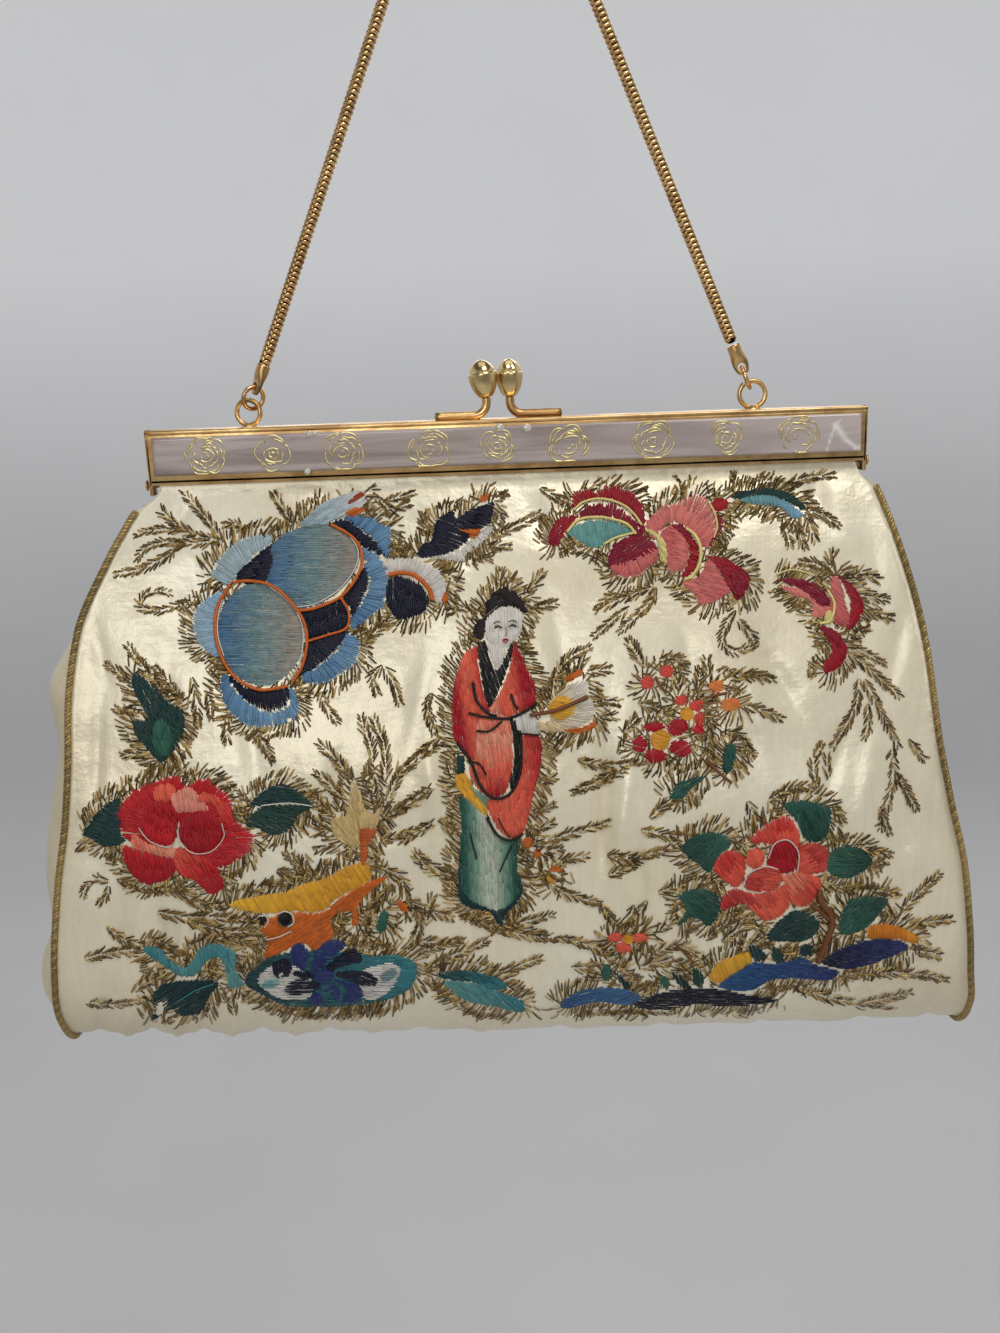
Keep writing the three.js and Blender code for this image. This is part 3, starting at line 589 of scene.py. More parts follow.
# Creases of the front, in picture pixels: middle, half length, half width, depth in mm
# (negative stands out) and slant in degrees from upright
CREASES = [
    (604, 800, 70, 9, 0.75, 4), (622, 830, 60, 7, -0.55, 8), (640, 872, 40, 7, 0.5, -6),
    (585, 860, 46, 8, -0.5, 3), (655, 800, 40, 9, 0.4, -10), (118, 922, 30, 6, 0.5, 8),
    (138, 925, 34, 6, -0.45, 4), (160, 928, 30, 6, 0.5, -4), (184, 930, 30, 6, -0.4, 2),
    (206, 934, 26, 5, 0.45, -8), (715, 735, 9, 60, 0.45, 84), (760, 722, 8, 46, -0.3, 78),
    (690, 660, 34, 10, 0.4, -22), (780, 680, 44, 10, 0.5, -30), (830, 780, 52, 10, 0.55, 16),
    (862, 800, 60, 9, -0.5, 12), (900, 860, 66, 10, 0.6, 8), (420, 700, 50, 11, 0.45, 10),
    (432, 790, 44, 9, -0.4, -6), (250, 745, 10, 50, 0.4, 80), (172, 700, 40, 10, 0.4, -16),
    (560, 650, 46, 10, 0.4, -12), (470, 540, 34, 9, 0.4, 10), (540, 520, 30, 8, 0.35, -14),
    (180, 520, 30, 9, 0.5, 26), (820, 500, 32, 9, 0.5, -24), (330, 800, 46, 10, 0.4, 14),
    (540, 940, 40, 9, 0.45, 6), (420, 930, 40, 9, 0.45, -8), (690, 950, 36, 8, 0.4, 10),
    (100, 1022, 24, 6, 0.6, 6), (128, 1026, 24, 6, -0.5, 2), (152, 1024, 26, 6, 0.6, -4),
    (178, 1028, 22, 6, -0.5, 3), (204, 1026, 26, 6, 0.6, -2), (232, 1026, 24, 7, -0.5, 4),
    (262, 1028, 24, 7, 0.6, 0), (296, 1026, 22, 7, -0.5, -3), (330, 1030, 22, 7, 0.5, 3),
    (372, 1028, 20, 8, -0.4, 0), (420, 1028, 20, 8, 0.45, -2), (480, 1026, 20, 9, -0.35, 2),
    (560, 1024, 20, 9, 0.4, 0), (660, 1022, 20, 9, 0.35, 2), (760, 1016, 22, 9, 0.4, -3),
    (860, 1012, 24, 9, 0.4, 3), (930, 1006, 26, 8, 0.5, 8), (90, 620, 60, 8, 0.4, -14),
    (96, 760, 60, 7, 0.45, 2), (900, 640, 60, 8, 0.4, 14), (936, 800, 60, 7, 0.4, 6),
]


def crease_height(x, y):
    """Height of the creases at picture places."""
    total = np.zeros_like(x)
    for cx, cy, long, wide, deep, slant in CREASES:
        c, s = cos_sin(slant)
        u = ((x - cx) * c + (y - cy) * s) / wide
        v = ((y - cy) * c - (x - cx) * s) / long
        total -= deep * np.exp(-u * u - v * v)
    return total


WAVES = 18     # sine waves that add up to one pucker


def pucker(points, size, seed):
    """Smooth seeded unevenness of cloth, in -1 to 1."""
    local = np.random.default_rng(seed)
    total = np.zeros(points.shape[:-1])
    for _ in range(WAVES):
        wave = local.normal(size=3) / size
        total += np.sin(points @ wave + local.uniform(0, math.tau))
    return total / WAVES


FRONT_ROWS, BACK_ROWS, GUSSET_ROWS = 250, 84, 130
COLUMNS, GUSSET_COLUMNS = 221, 49
CREASE = 2.1                                        # the creases' depths are taken this much deeper
FRONT_PUCKERS = [(1.3, 7.0, 3), (0.22, 2.2, 4)]     # height, size and seed
BACK_PUCKERS = [(0.8, 7.0, 5), (0.15, 2.0, 6)]
SEAM_FADE, FRAME_FADE = 0.06, 1.2                   # relief fades out to the seams and to the frame's rows
SLOT_HEIGHTS = (-9.9, -12.7)
HEM = 0.2                                           # the cloth in the slot is this much wider at each end
CORD_OUT = (PIPING / 2 + SEAT) * math.sqrt(0.5)     # from a seam to its piping, outwards and sideways

across = np.linspace(-1, 1, COLUMNS)[None, :]
front_at = even_rows(FRONT_ROWS, -1)[:, None]
back_at = even_rows(BACK_ROWS, 1)[:-1, None]
front, back = panel_point(front_at, -1, across), panel_point(back_at, 1, across)
seam_fade = np.clip((1 - np.abs(across)) / SEAM_FADE, 0, 1)
px, py = project(front)
normals = -grid_normals(front)
normals *= np.sign(-normals[..., 1:2] - 0.3 * normals[..., 2:3])
relief = CREASE * crease_height(px, py)
for height, size, seed in FRONT_PUCKERS:
    relief = relief + height * pucker(front, size, seed)
front = front + normals * (relief * (seam_fade * np.clip(front_at / FRAME_FADE, 0, 1)))[..., None]
relief = sum(height * pucker(back, size, seed) for height, size, seed in BACK_PUCKERS)
back = back + np.array([0, 1.0, 0]) * (relief * seam_fade)[..., None]


def slot_rows(face):
    """Rows of cloth held in the frame's slot."""
    x, z = np.broadcast_arrays(across * SLOT_REACH, np.array(SLOT_HEIGHTS)[:, None])
    return np.stack([x, np.full_like(x, face * SLOT_FACE), z], -1)


def hemmed(rows):
    """Rows of cloth with their turned hems."""
    return np.concatenate([rows[:, :1] - [HEM, 0, 0], rows, rows[:, -1:] + [HEM, 0, 0]], axis=1)


def cord_line(at, face, side):
    """Middle of the piping at rows of a seam."""
    return panel_point(at, face, np.full_like(at, side), CORD_OUT) + [side * CORD_OUT, 0, 0]


def into_piping(points, at, seams):
    """Adds the strips of cloth that run from a sheet's edges into the piping of its seams."""
    reach = np.clip(at, 0.15, 1)[..., None]
    edges = (points[:, :1], points[:, -1:])
    strips = [edge + (cord_line(at, *seam) - edge) * reach for edge, seam in zip(edges, seams)]
    return np.concatenate([strips[0], points, strips[1]], axis=1)


panel = np.concatenate([
    hemmed(slot_rows(-1)),
    into_piping(front, front_at, ((-1, -1), (-1, 1))),
    into_piping(back, back_at, ((1, -1), (1, 1)))[::-1],
    hemmed(slot_rows(1))[::-1],
])


def stains_and_base_shade(points):
    """Tint of the cloth: ivory, with pale tan spots, duller edges and painted shade along the base."""
    tint = np.ones((*points.shape[:-1], 3))
    x, y = project(points)
    for cx, cy, rx, ry, amount, colour in SPOTS:
        near = np.exp(-((x - cx) / rx) ** 2 - ((y - cy) / ry) ** 2)[..., None] * amount
        tint = tint * (1 - near) + np.array(colour) * near
    return tint


SPOTS = [
    # picture middle, radii, amount, tint
    (604, 810, 16, 60, 0.30, (0.86, 0.72, 0.50)), (590, 770, 30, 20, 0.18, (0.88, 0.76, 0.55)),
    (640, 900, 40, 40, 0.14, (0.86, 0.76, 0.58)), (500, 480, 420, 12, 0.22, (0.82, 0.76, 0.58)),
    # the two wide bands along the base are painted shade, where the cloth turns under and away from the light
    (100, 1040, 300, 20, 0.50, (0.62, 0.54, 0.40)), (700, 1036, 320, 18, 0.45, (0.62, 0.56, 0.43)),
    (60, 780, 16, 260, 0.2, (0.84, 0.76, 0.6)), (965, 860, 16, 200, 0.2, (0.84, 0.76, 0.6)),
]
satin_panel = make_object("satin_panel", panel.reshape(-1, 3), grid_faces(*panel.shape[:2])[:, ::-1], SATIN,
                          "ivory_satin", ["bag_panel"], attributes={"shade": stains_and_base_shade(panel).reshape(-1, 3)})
GUSSET_SHADE = (0.95, 0.91, 0.82)


GUSSET_FULL, GUSSET_ROUND = 2.2, 0.65    # exponents of the swelling between the seams
GATHER_PHASE, GATHER_FROM = 21, 7        # gathers from the middle to a seam, in radians, and their first row
GATHER, GUSSET_PUCKER = 0.5, 0.7         # depths in millimetres


def gusset(side):
    """A side wall: spread between the seams, swollen, gathered towards its foot and closed there by a fan."""
    at = even_rows(GUSSET_ROWS, -1)[:-1, None]
    u = np.linspace(-1, 1, GUSSET_COLUMNS)[None, :]
    a, b = (panel_point(at, face, np.full_like(at, side), -(PANEL_WALL + SEAT)) for face in (-1, 1))
    points = a + (b - a) * ((u + 1) / 2)[..., None]
    swell = (BULGE_LEFT if side < 0 else BULGE_RIGHT)(at) * BULGE[side]
    swell = swell * (1 - np.abs(u) ** GUSSET_FULL) ** GUSSET_ROUND
    gather = GATHER * np.sin(u * GATHER_PHASE + 1.5 * np.sin(at * 2.0))
    gather = gather * np.clip((at - GATHER_FROM) / 4, 0, 1) + GUSSET_PUCKER * pucker(points, 5.0, 8 + side)
    rise = np.clip((1 - np.abs(u)) / 0.12, 0, 1) * np.clip(at / 3, 0, 1)
    points[..., 0] += side * (swell + gather * rise)
    points = into_piping(points, at, ((-1, side), (1, side)))
    pole = sum(cord_line(np.array([LAST]), face, side) for face in (-1, 1)) / 2
    total = points.shape[0] * points.shape[1]
    last = np.arange(total - points.shape[1], total - 1)
    fan = np.stack([last, last + 1, np.full_like(last, total)], 1)
    faces = np.concatenate([triangles(grid_faces(*points.shape[:2])), fan])
    name = "left" if side < 0 else "right"
    return make_object(f"satin_gusset_{name}", np.concatenate([points.reshape(-1, 3), pole]),
                       faces if side > 0 else faces[:, ::-1], SATIN, "ivory_satin", [f"gusset_{name}"],
                       attributes={"shade": np.tile(GUSSET_SHADE, (total + 1, 1))})


gussets = [gusset(side) for side in (-1, 1)]

# Piping: strands, their sides, radius, distance from the middle, length of a turn and tint
STRANDS, STRAND_SIDES = 3, 7
STRAND_RADIUS, STRAND_OUT, STRAND_LAY = 0.44, 0.43, 2.6
STRAND_TINT = np.array([[0.46, 0.32, 0.12]])
SEAM_ROWS, PIPING_ROWS = 190, 1100
WINDING = 0.5        # length of one winding of gold thread round a strand


def piping(side):
    """Three strands twisted along a side seam, down the front, under the bag and up the back."""
    front_seam, back_seam = (cord_line(even_rows(SEAM_ROWS, face, 1.0), face, side) for face in (-1, 1))
    path = np.concatenate([front_seam, back_seam[::-1][1:]])
    run = distances(lengths(path))
    even = np.linspace(0, run[-1], PIPING_ROWS)
    path = sample(path, run, even)
    _, normal, binormal = path_frames(path, (side, 0.0, 0.0))
    parts = Parts()
    for strand in range(STRANDS):
        angle = math.tau * (even / STRAND_LAY + strand / STRANDS)
        offset = STRAND_OUT * (np.cos(angle)[:, None] * normal + np.sin(angle)[:, None] * binormal)
        points, faces = tube(path + offset, STRAND_RADIUS, STRAND_SIDES)
        shade = 0.75 + 0.25 * np.sin(even / 7.0 + strand)
        tints = np.repeat(STRAND_TINT * shade[:, None], STRAND_SIDES, 0)
        around = np.tile(np.arange(STRAND_SIDES) / STRAND_SIDES, len(even))
        along = np.concatenate([np.repeat(even / WINDING, STRAND_SIDES) + around, [0, 0]])
        parts.add(points, faces, tint=np.concatenate([tints, tints[:2]]), along=along)
    name = "left" if side < 0 else "right"
    parts.build(f"gold_piping_{name}", GOLD, "gold_cord", replaces=[f"piping_{name}"])


for side in (-1, 1):
    piping(side)


# Embroidery
def linear(code):
    """Linear colour of a hex code."""
    c = np.array([int(code[k:k + 2], 16) / 255 for k in (0, 2, 4)])
    return np.where(c <= 0.04045, c / 12.92, ((c + 0.055) / 1.055) ** 2.4)


SILKS = {name: linear(code) for name, code in {
    "navy": "070b27", "royal": "26336c", "blue": "44709a", "sky": "7fa8c6", "ocean": "24598e",
    "pale": "b4c8cf", "slate": "88a0a8", "sage": "748f90", "taupe": "a39587", "white": "dcd7cf",
    "cream": "d6b87c", "orange": "cc6418", "amber": "e09a26", "yellow": "edb731", "lemon": "ecdc8c",
    "magenta": "84082a", "crimson": "a80c1c", "red": "cb1c22", "coral": "e9634a", "pink": "e08075",
    "rose": "c9595c", "peach": "eda284", "teal": "6aa09d", "sea": "35838c", "deep": "0b3438",
    "forest": "163c32", "leaf": "2c6150", "jade": "7a9c88", "mist": "bcc6b4",
    "black": "12110f", "hair": "1d1211", "skin": "e6dfd6", "brown": "774722", "rust": "a8452a",
}.items()}


def read_chart(text):
    """Sheets of the chart, each with its corner, its scale and its silk shapes, cords and sprays."""
    sheets = []
    for entry in text.replace("\n ", " ").replace(";", "\n").strip().splitlines():
        head, _, tail = entry.partition(":")
        first, *words = head.split()
        values = [int(value) for value in tail.split()]
        points = list(zip(values[::2], values[1::2]))
        if first == "sheet":
            x, y, scale = words[:3]
            sheets.append({"corner": (int(x), int(y)), "scale": float(scale),
                           "shapes": [], "cords": [], "sprays": []})
        elif first.isalpha():
            sheets[-1]["cords"].append((first, float(words[0]), points))
        elif words:
            way = tuple(int(part) for part in first.split(",")) if "," in first else int(first)
            sheets[-1]["shapes"].append((way, " ".join(words), tuple(values) if len(values) % 2 else points))
        else:
            sheets[-1]["sprays"].append((int(first), points))
    return sheets


# Each sheet is a part of the picture, charted larger: its top left corner in picture pixels and
# its points for one pixel. Entries end at a semicolon or a line's end, and a space at a line's start
# carries one on. A silk shape is the way its stitches lie (degrees, or the point they spread from),
# its colours along the stitches (across them after a bar) and its outline, as points or, where it
# has five numbers, as an oval: middle, radii, turn. A cord is its colour, its width in pixels and
# its line. A spray is the reach of its stitches and its stem.
CHART = read_chart("""
sheet 40 470 4.356 blue peony and dark leaf
-30 slate pale white: 1130 240 1200 170 1300 115 1390 90 1425 130 1370 190 1290 215 1200 250
-25 orange: 1330 190 1400 160 1418 182 1340 208; -30 rust: 1340 140 1400 98 1412 116 1350 152
1000,560 slate pale: 745 450 790 370 880 300 980 280 1015 310 920 380 860 460 820 500 770 480
0 navy: 850 480 900 410 1010 325 1020 400 975 495
1200,480 navy: 1260 240 1330 212 1380 240 1430 280 1480 330 1515 385 1450 355 1390 325 1330 270
1200,480 blue sky: 1330 208 1420 205 1500 240 1530 260 1522 350 1505 380 1470 325 1430 285 1375 240
0 navy: 1310 560 1370 490 1415 420 1432 480 1410 560 1360 650 1350 600
1230,520 blue sky: 1400 335 1470 365 1510 440 1522 520 1495 590 1430 645 1370 695 1350 655 1400 585 1435
 490 1415 415 1405 380
90 navy: 1135 620 1310 558 1340 600 1335 690 1250 718 1165 742 1155 680
45 navy: 1160 750 1330 700 1320 750 1230 840 1130 900 1150 830
1120,700 blue sky: 1330 715 1390 750 1385 830 1310 895 1220 932 1140 905 1215 850 1300 780
950,700 navy: 810 870 880 935 980 960 1085 945 1075 1025 990 1050 910 1010 850 950
950,760 blue sky: 800 890 850 955 910 1015 990 1052 1080 1030 1090 950 1125 1010 1110 1085 1000 1118 900
 1112 830 1060 790 980
960,680 sky pale: 800 530 720 560 670 620 665 700 700 770 760 812 800 800 772 720 772 640
0 blue sage taupe: 960 715 190 225 -5
0 blue sage taupe: 1005 330 1100 262 1230 240 1330 270 1392 350 1378 430 1300 530 1200 588 1115 602 1060
 540 985 500 1015 400
60 deep forest: 415 880 480 930 560 1010 620 1045 630 1120 600 1200 535 1275 480 1230 420 1150 402 1092 465
 1080 420 990 402 920
70 leaf: 532 1165 42 85 -8
orange 3.2: 1265 240 1340 280 1390 330 1405 400 1380 470 1312 552 1200 602 1115 614
orange 3.2: 830 500 775 600 768 720 800 830 860 910 960 957 1080 942
orange 3.2: 840 490 920 485 1010 505 1085 565 1145 650 1165 740 1145 850 1100 925
orange 2.6: 1310 555 1345 620 1335 690 1250 722 1165 748
white 1.3: 1330 268 1386 350 1370 438 1298 526 1198 584 1120 597
white 1.3: 990 500 1070 560 1125 630 1148 720 1135 830 1092 915; white 1.3: 812 525 780 620 777 720 803 812
11: 790 310 700 290 600 240 520 170 440 115; 11: 790 300 740 230 680 160 620 90
9: 720 300 600 262 480 265 400 290; 9: 640 315 520 320 450 350 420 400
11: 740 312 600 330 560 370 440 430 320 455; 9: 900 270 860 240 795 238; 11: 1100 250 1060 170 1015 95
10: 700 560 600 592 520 612 448 600 450 556 500 528 565 535; 12: 560 1000 480 900 380 760
10: 400 930 340 880 280 840; 12: 640 1040 570 940 500 860; 10: 420 1100 370 1070 330 1040
10: 470 1230 420 1240 355 1240; 12: 1390 760 1470 700 1560 640; 12: 1220 960 1240 1020 1290 1095
12: 930 1130 965 1180 1010 1262; 9: 730 960 740 1020 745 1090; 11: 820 1060 812 1120 818 1195
12: 1490 850 1450 900 1470 980; 12: 1500 860 1540 930 1568 1020; 12: 660 900 680 1000 690 1100
12: 1480 130 1530 170 1600 150
sheet 380 480 9.8 navy leaf and fringed petal
560,300 white: 360 760 600 745 760 690 900 600 1000 500 1110 450 1090 520 980 640 850 740 820 800 700 790
 500 770
20 navy: 360 750 400 640 500 590 530 420 640 330 720 300 750 380 860 300 1000 250 1110 220 1105 340 1080
 430 980 480 880 570 760 680 600 740 470 760
20 orange: 970 180 1040 140 1090 155 1050 200 990 215
20 orange: 780 500 870 482 985 490 950 550 890 570 860 535
150,1250 white: 60 790 200 770 350 775 470 830 590 900 640 980 660 1080 630 1190 530 1190 500 1080 420 980
 300 915 180 895 90 910
90 navy: 90 960 250 955 380 1010 460 1120 450 1280 330 1345 180 1371 70 1220; 60 orange: 638 1160 26 55 20
orange 4.4: 85 935 200 915 320 930 420 1000 490 1090 515 1180
11: 1100 560 1300 470 1568 330; 11: 900 760 1090 770; 11: 1050 650 1270 655; 10: 430 450 420 330
9: 0 240 160 180 330 130; 9: 660 300 680 200; 10: 1110 200 1250 130
sheet 540 480 7.127 magenta flower
600,520 magenta crimson: 230 195 235 100 330 60 400 90 470 40 600 60 720 150 745 300 725 390 690 290 600
 190 480 150 350 150
480,560 magenta: 265 260 330 180 430 160 540 180 640 250 700 330 730 395 680 380 610 320 500 280 400 265
 310 275
-50 magenta crimson: 50 460 80 350 150 265 265 250 200 340 130 460 80 475
80 teal: 200 380 270 310 380 285 500 290 600 330 660 375 540 410 460 460 380 490 280 440
-60 magenta: 1262 240 1312 300 1275 400 1190 490 1240 400 1265 320
940,560 rose pink rose: 770 380 760 310 820 230 900 180 1000 150 1060 120 1130 105 1190 140 1245 230 1262
 330 1240 410 1180 485 1110 420 1040 340 960 300 870 340 820 420
-35 magenta: 480 600 500 500 600 420 680 390 760 400 840 480 800 530 700 560 600 610 520 630
560,330 rose pink: 500 630 600 590 700 550 800 500 845 510 800 600 700 690 560 690
18 rose pink: 870 360 950 320 1010 350 1050 430 1065 520 1030 640 920 650 890 560 850 450
25 magenta crimson: 940 330 1010 320 1080 400 1130 480 1130 570 1090 660 1010 690 1050 600 1065 500 1020 400
60 crimson: 1280 175 60 50 0
15 pink rose: 1180 580 1250 580 1290 680 1370 770 1280 850 1150 890 1100 820 1010 730 1100 700 1160 640
40 crimson magenta: 1180 540 1300 550 1420 620 1500 700 1470 800 1400 860 1350 770 1290 680 1240 590
60 lemon: 740 350 830 380 900 480 900 600 860 560 830 430
lemon 2.4: 240 218 300 165 400 138 500 148 600 188 670 250 722 325
lemon 2.8: 192 375 270 290 400 268 520 285 620 320 682 388; lemon 2.4: 460 458 540 414 665 380
lemon 3.4: 1040 345 1105 400 1145 490 1135 600 1085 685 1030 712
lemon 1.8: 1195 150 1240 230 1262 330 1240 415
10: 740 780 640 830 500 830 400 920; 10: 820 760 780 860 700 960; 9: 0 60 110 120 230 160; 9: 1000 90 1010 0
9: 0 250 60 300
sheet 590 470 5.058 teal leaf, right extension, buds and small flowers
-20 deep forest: 710 135 830 95 960 100 1060 150 1085 205 1000 165 880 130 780 150
80 teal sky: 760 155 850 125 950 140 1040 190 1075 230 1020 245 960 190 860 180
50 pink: 960 580 1060 605 1140 645 1220 720 1130 745 1115 665 1035 640
30 magenta: 945 555 1040 545 1140 580 1190 620 1225 690 1160 680 1100 630 1000 575
30 magenta crimson: 1250 530 1340 600 1385 690 1340 790 1290 805 1320 700 1290 600
40 pink rose: 1220 540 1262 560 1292 660 1315 780 1230 770 1212 660
70 magenta crimson: 1160 790 1240 810 1290 880 1300 930 1260 1000 1190 1030 1180 980 1222 900
60 lemon: 1210 745 26 34 0; 20 coral red: 290 1075 36 33 0; 20 coral red: 385 1018 40 30 20
30 coral amber: 640 1095 42 32 0; 30 amber coral: 710 1185 52 34 0; 40 red coral: 460 1165 34 30 0
40 red coral: 538 1190 38 30 0; 80 red coral: 552 1255 28 36 0; 40 red: 545 1312 30 26 0
0 amber: 487 1232 38 34 0; 80 crimson: 325 1298 52 26 0; 30 crimson: 443 1300 56 44 0
-30 crimson: 458 1408 58 44 0; 80 crimson: 330 1445 54 40 0; 10 crimson: 250 1388 42 40 0
20 amber: 355 1365 54 52 0; 80 leaf forest: 702 1435 30 60 10
lemon 2.6: 1200 608 1232 680 1212 760 1160 778; brown 2.4: 330 1045 352 1090 385 1125
brown 3.0: 580 1152 640 1138 690 1128; lemon 1.6: 940 530 1020 505 1130 530
11: 700 990 690 1020 900 1060; 10: 735 710 690 780 670 860 715 912 790 905 838 885
10: 750 760 800 820 838 880; 12: 1250 545 1215 480 1235 415; 11: 1210 510 1130 475 1060 462
12: 1320 560 1370 520 1462 560; 12: 1390 640 1500 655; 12: 1395 715 1522 745; 12: 1330 830 1410 800
12: 1070 205 1180 230 1258 285; 12: 975 240 1010 380; 12: 1030 255 1090 395; 12: 1085 200 1140 360
11: 1000 65 1120 35 1240 28; 9: 800 70 870 12; 8: 475 75 440 22; 8: 515 75 515 18; 8: 735 90 725 12
9: 1300 890 1400 930 1500 985; 12: 1330 940 1450 1040 1562 1140; 11: 1362 1055 1340 1200 1225 1400
11: 1385 1060 1470 1220 1560 1400; 9: 1405 1180 1405 1290 1380 1370; 12: 1110 1060 1140 960
13: 280 1000 230 920 196 860; 12: 350 960 420 950 482 985; 12: 600 1050 590 960
12: 700 1060 800 1030 930 1062; 12: 740 1190 850 1210 960 1255; 12: 620 1250 590 1370; 13: 450 1120 440 1010
13: 540 1120 560 1010; 13: 240 1180 330 1200; 13: 170 1330 230 1260; 13: 140 1440 190 1360
10: 1130 1450 1175 1390; 10: 330 590 180 640 30 715; 10: 200 690 100 770 18 845; 10: 330 640 250 720 140 825
12: 660 1330 760 1340 810 1440
sheet 400 560 3.92 lady
88 |deep leaf jade mist mist jade leaf deep: 235 925 290 960 340 1010 380 1070 440 1095 465 1090 460 1200
 482 1290 455 1340 410 1380 405 1420 385 1420 350 1370 280 1360 235 1320 230 1200 240 1050
60 deep: 235 1290 300 1345 400 1368 475 1300 455 1345 412 1385 405 1425 385 1425 350 1375 280 1365 235 1332
60 amber yellow: 215 850 250 830 290 900 340 970 335 1002 270 945 230 905
60 deep: 225 760 252 790 252 842 222 832; 50 jade: 272 888 340 930 338 965
85 |coral coral crimson: 475 690 545 690 552 800 528 900 502 1020 480 1072 440 1092 400 1072 360 1012 342
 940 400 930 445 900 475 820
80 |crimson crimson coral coral crimson: 300 335 250 370 220 450 205 550 205 640 215 710 250 765 285 790
 345 830 360 700 350 590 315 470 305 380
80 |peach coral coral crimson crimson: 445 320 470 360 500 430 525 480 532 560 510 590 470 600 430 620 380
 605 352 585 390 520 430 420
82 coral peach coral crimson: 345 600 430 622 440 700 442 800 430 870 400 925 350 928 300 890 270 820 290
 780 300 700 300 640
85 black: 425 625 465 640 477 720 472 820 442 902 430 868 447 780 442 690
70 black: 303 325 332 318 348 370 375 432 402 400 440 318 442 370 415 445 382 530 352 582 330 520 315 430
 305 370
80 white: 450 620 480 600 520 595 545 650 540 682 470 676; 88 skin: 345 325 405 345 412 372 378 428 358 380
-40 hair: 330 225 335 170 370 130 410 105 460 130 490 170 497 215 440 185 380 190 348 230 332 290 325 312
 285 300 300 240
88 skin: 345 225 385 188 440 182 480 208 480 255 465 300 435 335 400 350 360 335 336 300 334 255
560,610 cream white: 540 640 600 540 680 480 730 470 742 530 768 590 730 640 650 672 570 672
10 amber yellow: 635 580 56 46 -12; -20 orange: 648 462 700 430 722 442 660 478
-8 orange: 640 672 720 652 768 630 762 656 700 678; 30 orange: 500 1105 20 20 0; 30 orange: 540 1152 16 18 0
0 orange: 610 1212 30 11 0; 40 amber: 590 1252 28 10 40; 20 coral: 840 1480 28 19 0
20 coral: 940 1480 30 19 0; 60 coral: 872 1514 30 18 0; 0 amber: 892 1485 24 15 0
black 2.9: 285 480 300 550 345 600 378 612; black 2.9: 270 600 330 615 410 622 445 615 500 588 532 560
black 2.4: 300 670 350 670 400 632; black 2.4: 435 525 445 560 462 585
black 3.1: 222 715 280 795 308 870 350 926 402 930 442 900 472 820 474 690
black 2.0: 275 790 312 800 338 842; black 2.9: 340 1008 380 1074 430 1096 482 1072
black 2.0: 468 680 545 686; black 1.4: 385 1010 405 1050 430 1085; black 1.0: 366 250 378 243 394 245
black 1.0: 426 243 442 238 458 245; black 1.5: 370 266 383 260 398 267; black 1.5: 428 262 443 256 457 263
taupe 0.9: 415 262 420 288 411 296; crimson 1.8: 402 316 413 312 425 315; coral 1.2: 405 321 414 324 423 320
black 1.6: 440 1110 390 1220; black 1.6: 275 1070 300 1170; brown 4.2: 510 608 600 592 680 562 735 536
12: 300 235 250 190 185 205; 12: 385 125 395 40; 12: 430 115 440 60; 12: 490 140 560 50; 12: 510 190 605 170
9: 125 520 105 590 130 680; 12: 150 700 60 780 10 825; 12: 125 900 60 930 0 985; 12: 125 1030 60 1070 0 1100
12: 55 1150 130 1205 210 1240; 12: 150 1020 240 1040; 12: 590 480 660 390 740 345; 12: 720 440 820 430
12: 770 550 855 560; 12: 770 620 850 610; 11: 560 770 620 740; 11: 540 880 612 850; 11: 520 990 602 960
11: 510 1070 600 1030; 11: 500 1120 640 1080 825 1028; 10: 620 1180 735 1158; 12: 540 1220 640 1300 780 1345
11: 700 788 830 805; 11: 850 820 750 880 670 912; 11: 810 1160 900 1175 1000 1150; 10: 820 1240 920 1190
11: 780 1340 830 1410; 11: 920 1350 890 1440; 11: 260 1400 400 1432 600 1390; 11: 330 1440 500 1470 700 1490
12: 20 1330 110 1370 200 1400; 12: 520 1150 640 1130; 12: 540 1180 600 1260; 11: 60 1500 240 1490
sheet 40 780 4.356 red peony, creature, ribbon and spiral flower
20 forest deep: 185 230 260 130 340 80 360 150 350 220 370 270 290 290 230 260
10 deep forest: 910 112 980 40 1070 20 1140 60 1185 110 1080 102 960 112
20 forest: 900 190 960 117 1080 107 1180 117 1120 160 1090 220 1010 240 950 210
600,250 crimson red: 350 220 340 130 400 50 500 5 600 -20 650 25 700 -10 800 40 840 100 850 170 930 240 920
 300 860 350 790 380 700 345 590 300 450 285 370 250
80 coral: 500 30 560 10 592 50 560 100 500 90; 80 peach pink: 570 70 640 28 692 60 732 130 640 142 600 142
60 coral red: 720 50 800 90 842 170 792 182 760 110 690 90
80 crimson red: 440 180 470 100 540 90 592 130 592 260 540 282 470 250; 80 crimson: 705 225 100 92 0
70 coral peach: 405 228 470 272 580 292 582 342 500 322 415 300
80 red crimson: 358 285 420 300 500 322 582 342 587 400 540 442 450 452 380 380
55 coral red crimson: 590 300 680 312 740 350 782 400 802 470 742 497 680 442 600 400
-40 orange: 960 650 1050 580 1230 575 1300 520 1440 440 1520 415 1440 480 1380 560 1392 612 1350 572 1270
 600 1282 680 1200 750 1140 712 980 780 990 700
58 yellow amber: 820 540 900 510 1050 485 1150 450 1250 420 1340 370 1420 362 1442 430 1390 470 1290 520
 1230 572 1100 572 1000 582 900 572
60 black: 1068 602 31 31 0; 60 black: 972 612 20 24 0
0 orange rust: 1388 235 1410 198 1472 208 1432 290 1422 352 1400 357
80 sea teal: 450 730 520 730 580 790 640 810 700 730 770 710 850 750 857 830 887 890 830 907 810 850 790
 780 730 790 680 850 610 852 540 812 480 772
-30 deep: 490 930 560 880 680 870 780 880 740 940 700 1010 620 1027 560 1000 480 1060 500 990
5 deep sea: 890 870 1000 770 1200 740 1400 760 1560 765 1640 800 1620 900 1500 960 1300 985 1080 980 960 930
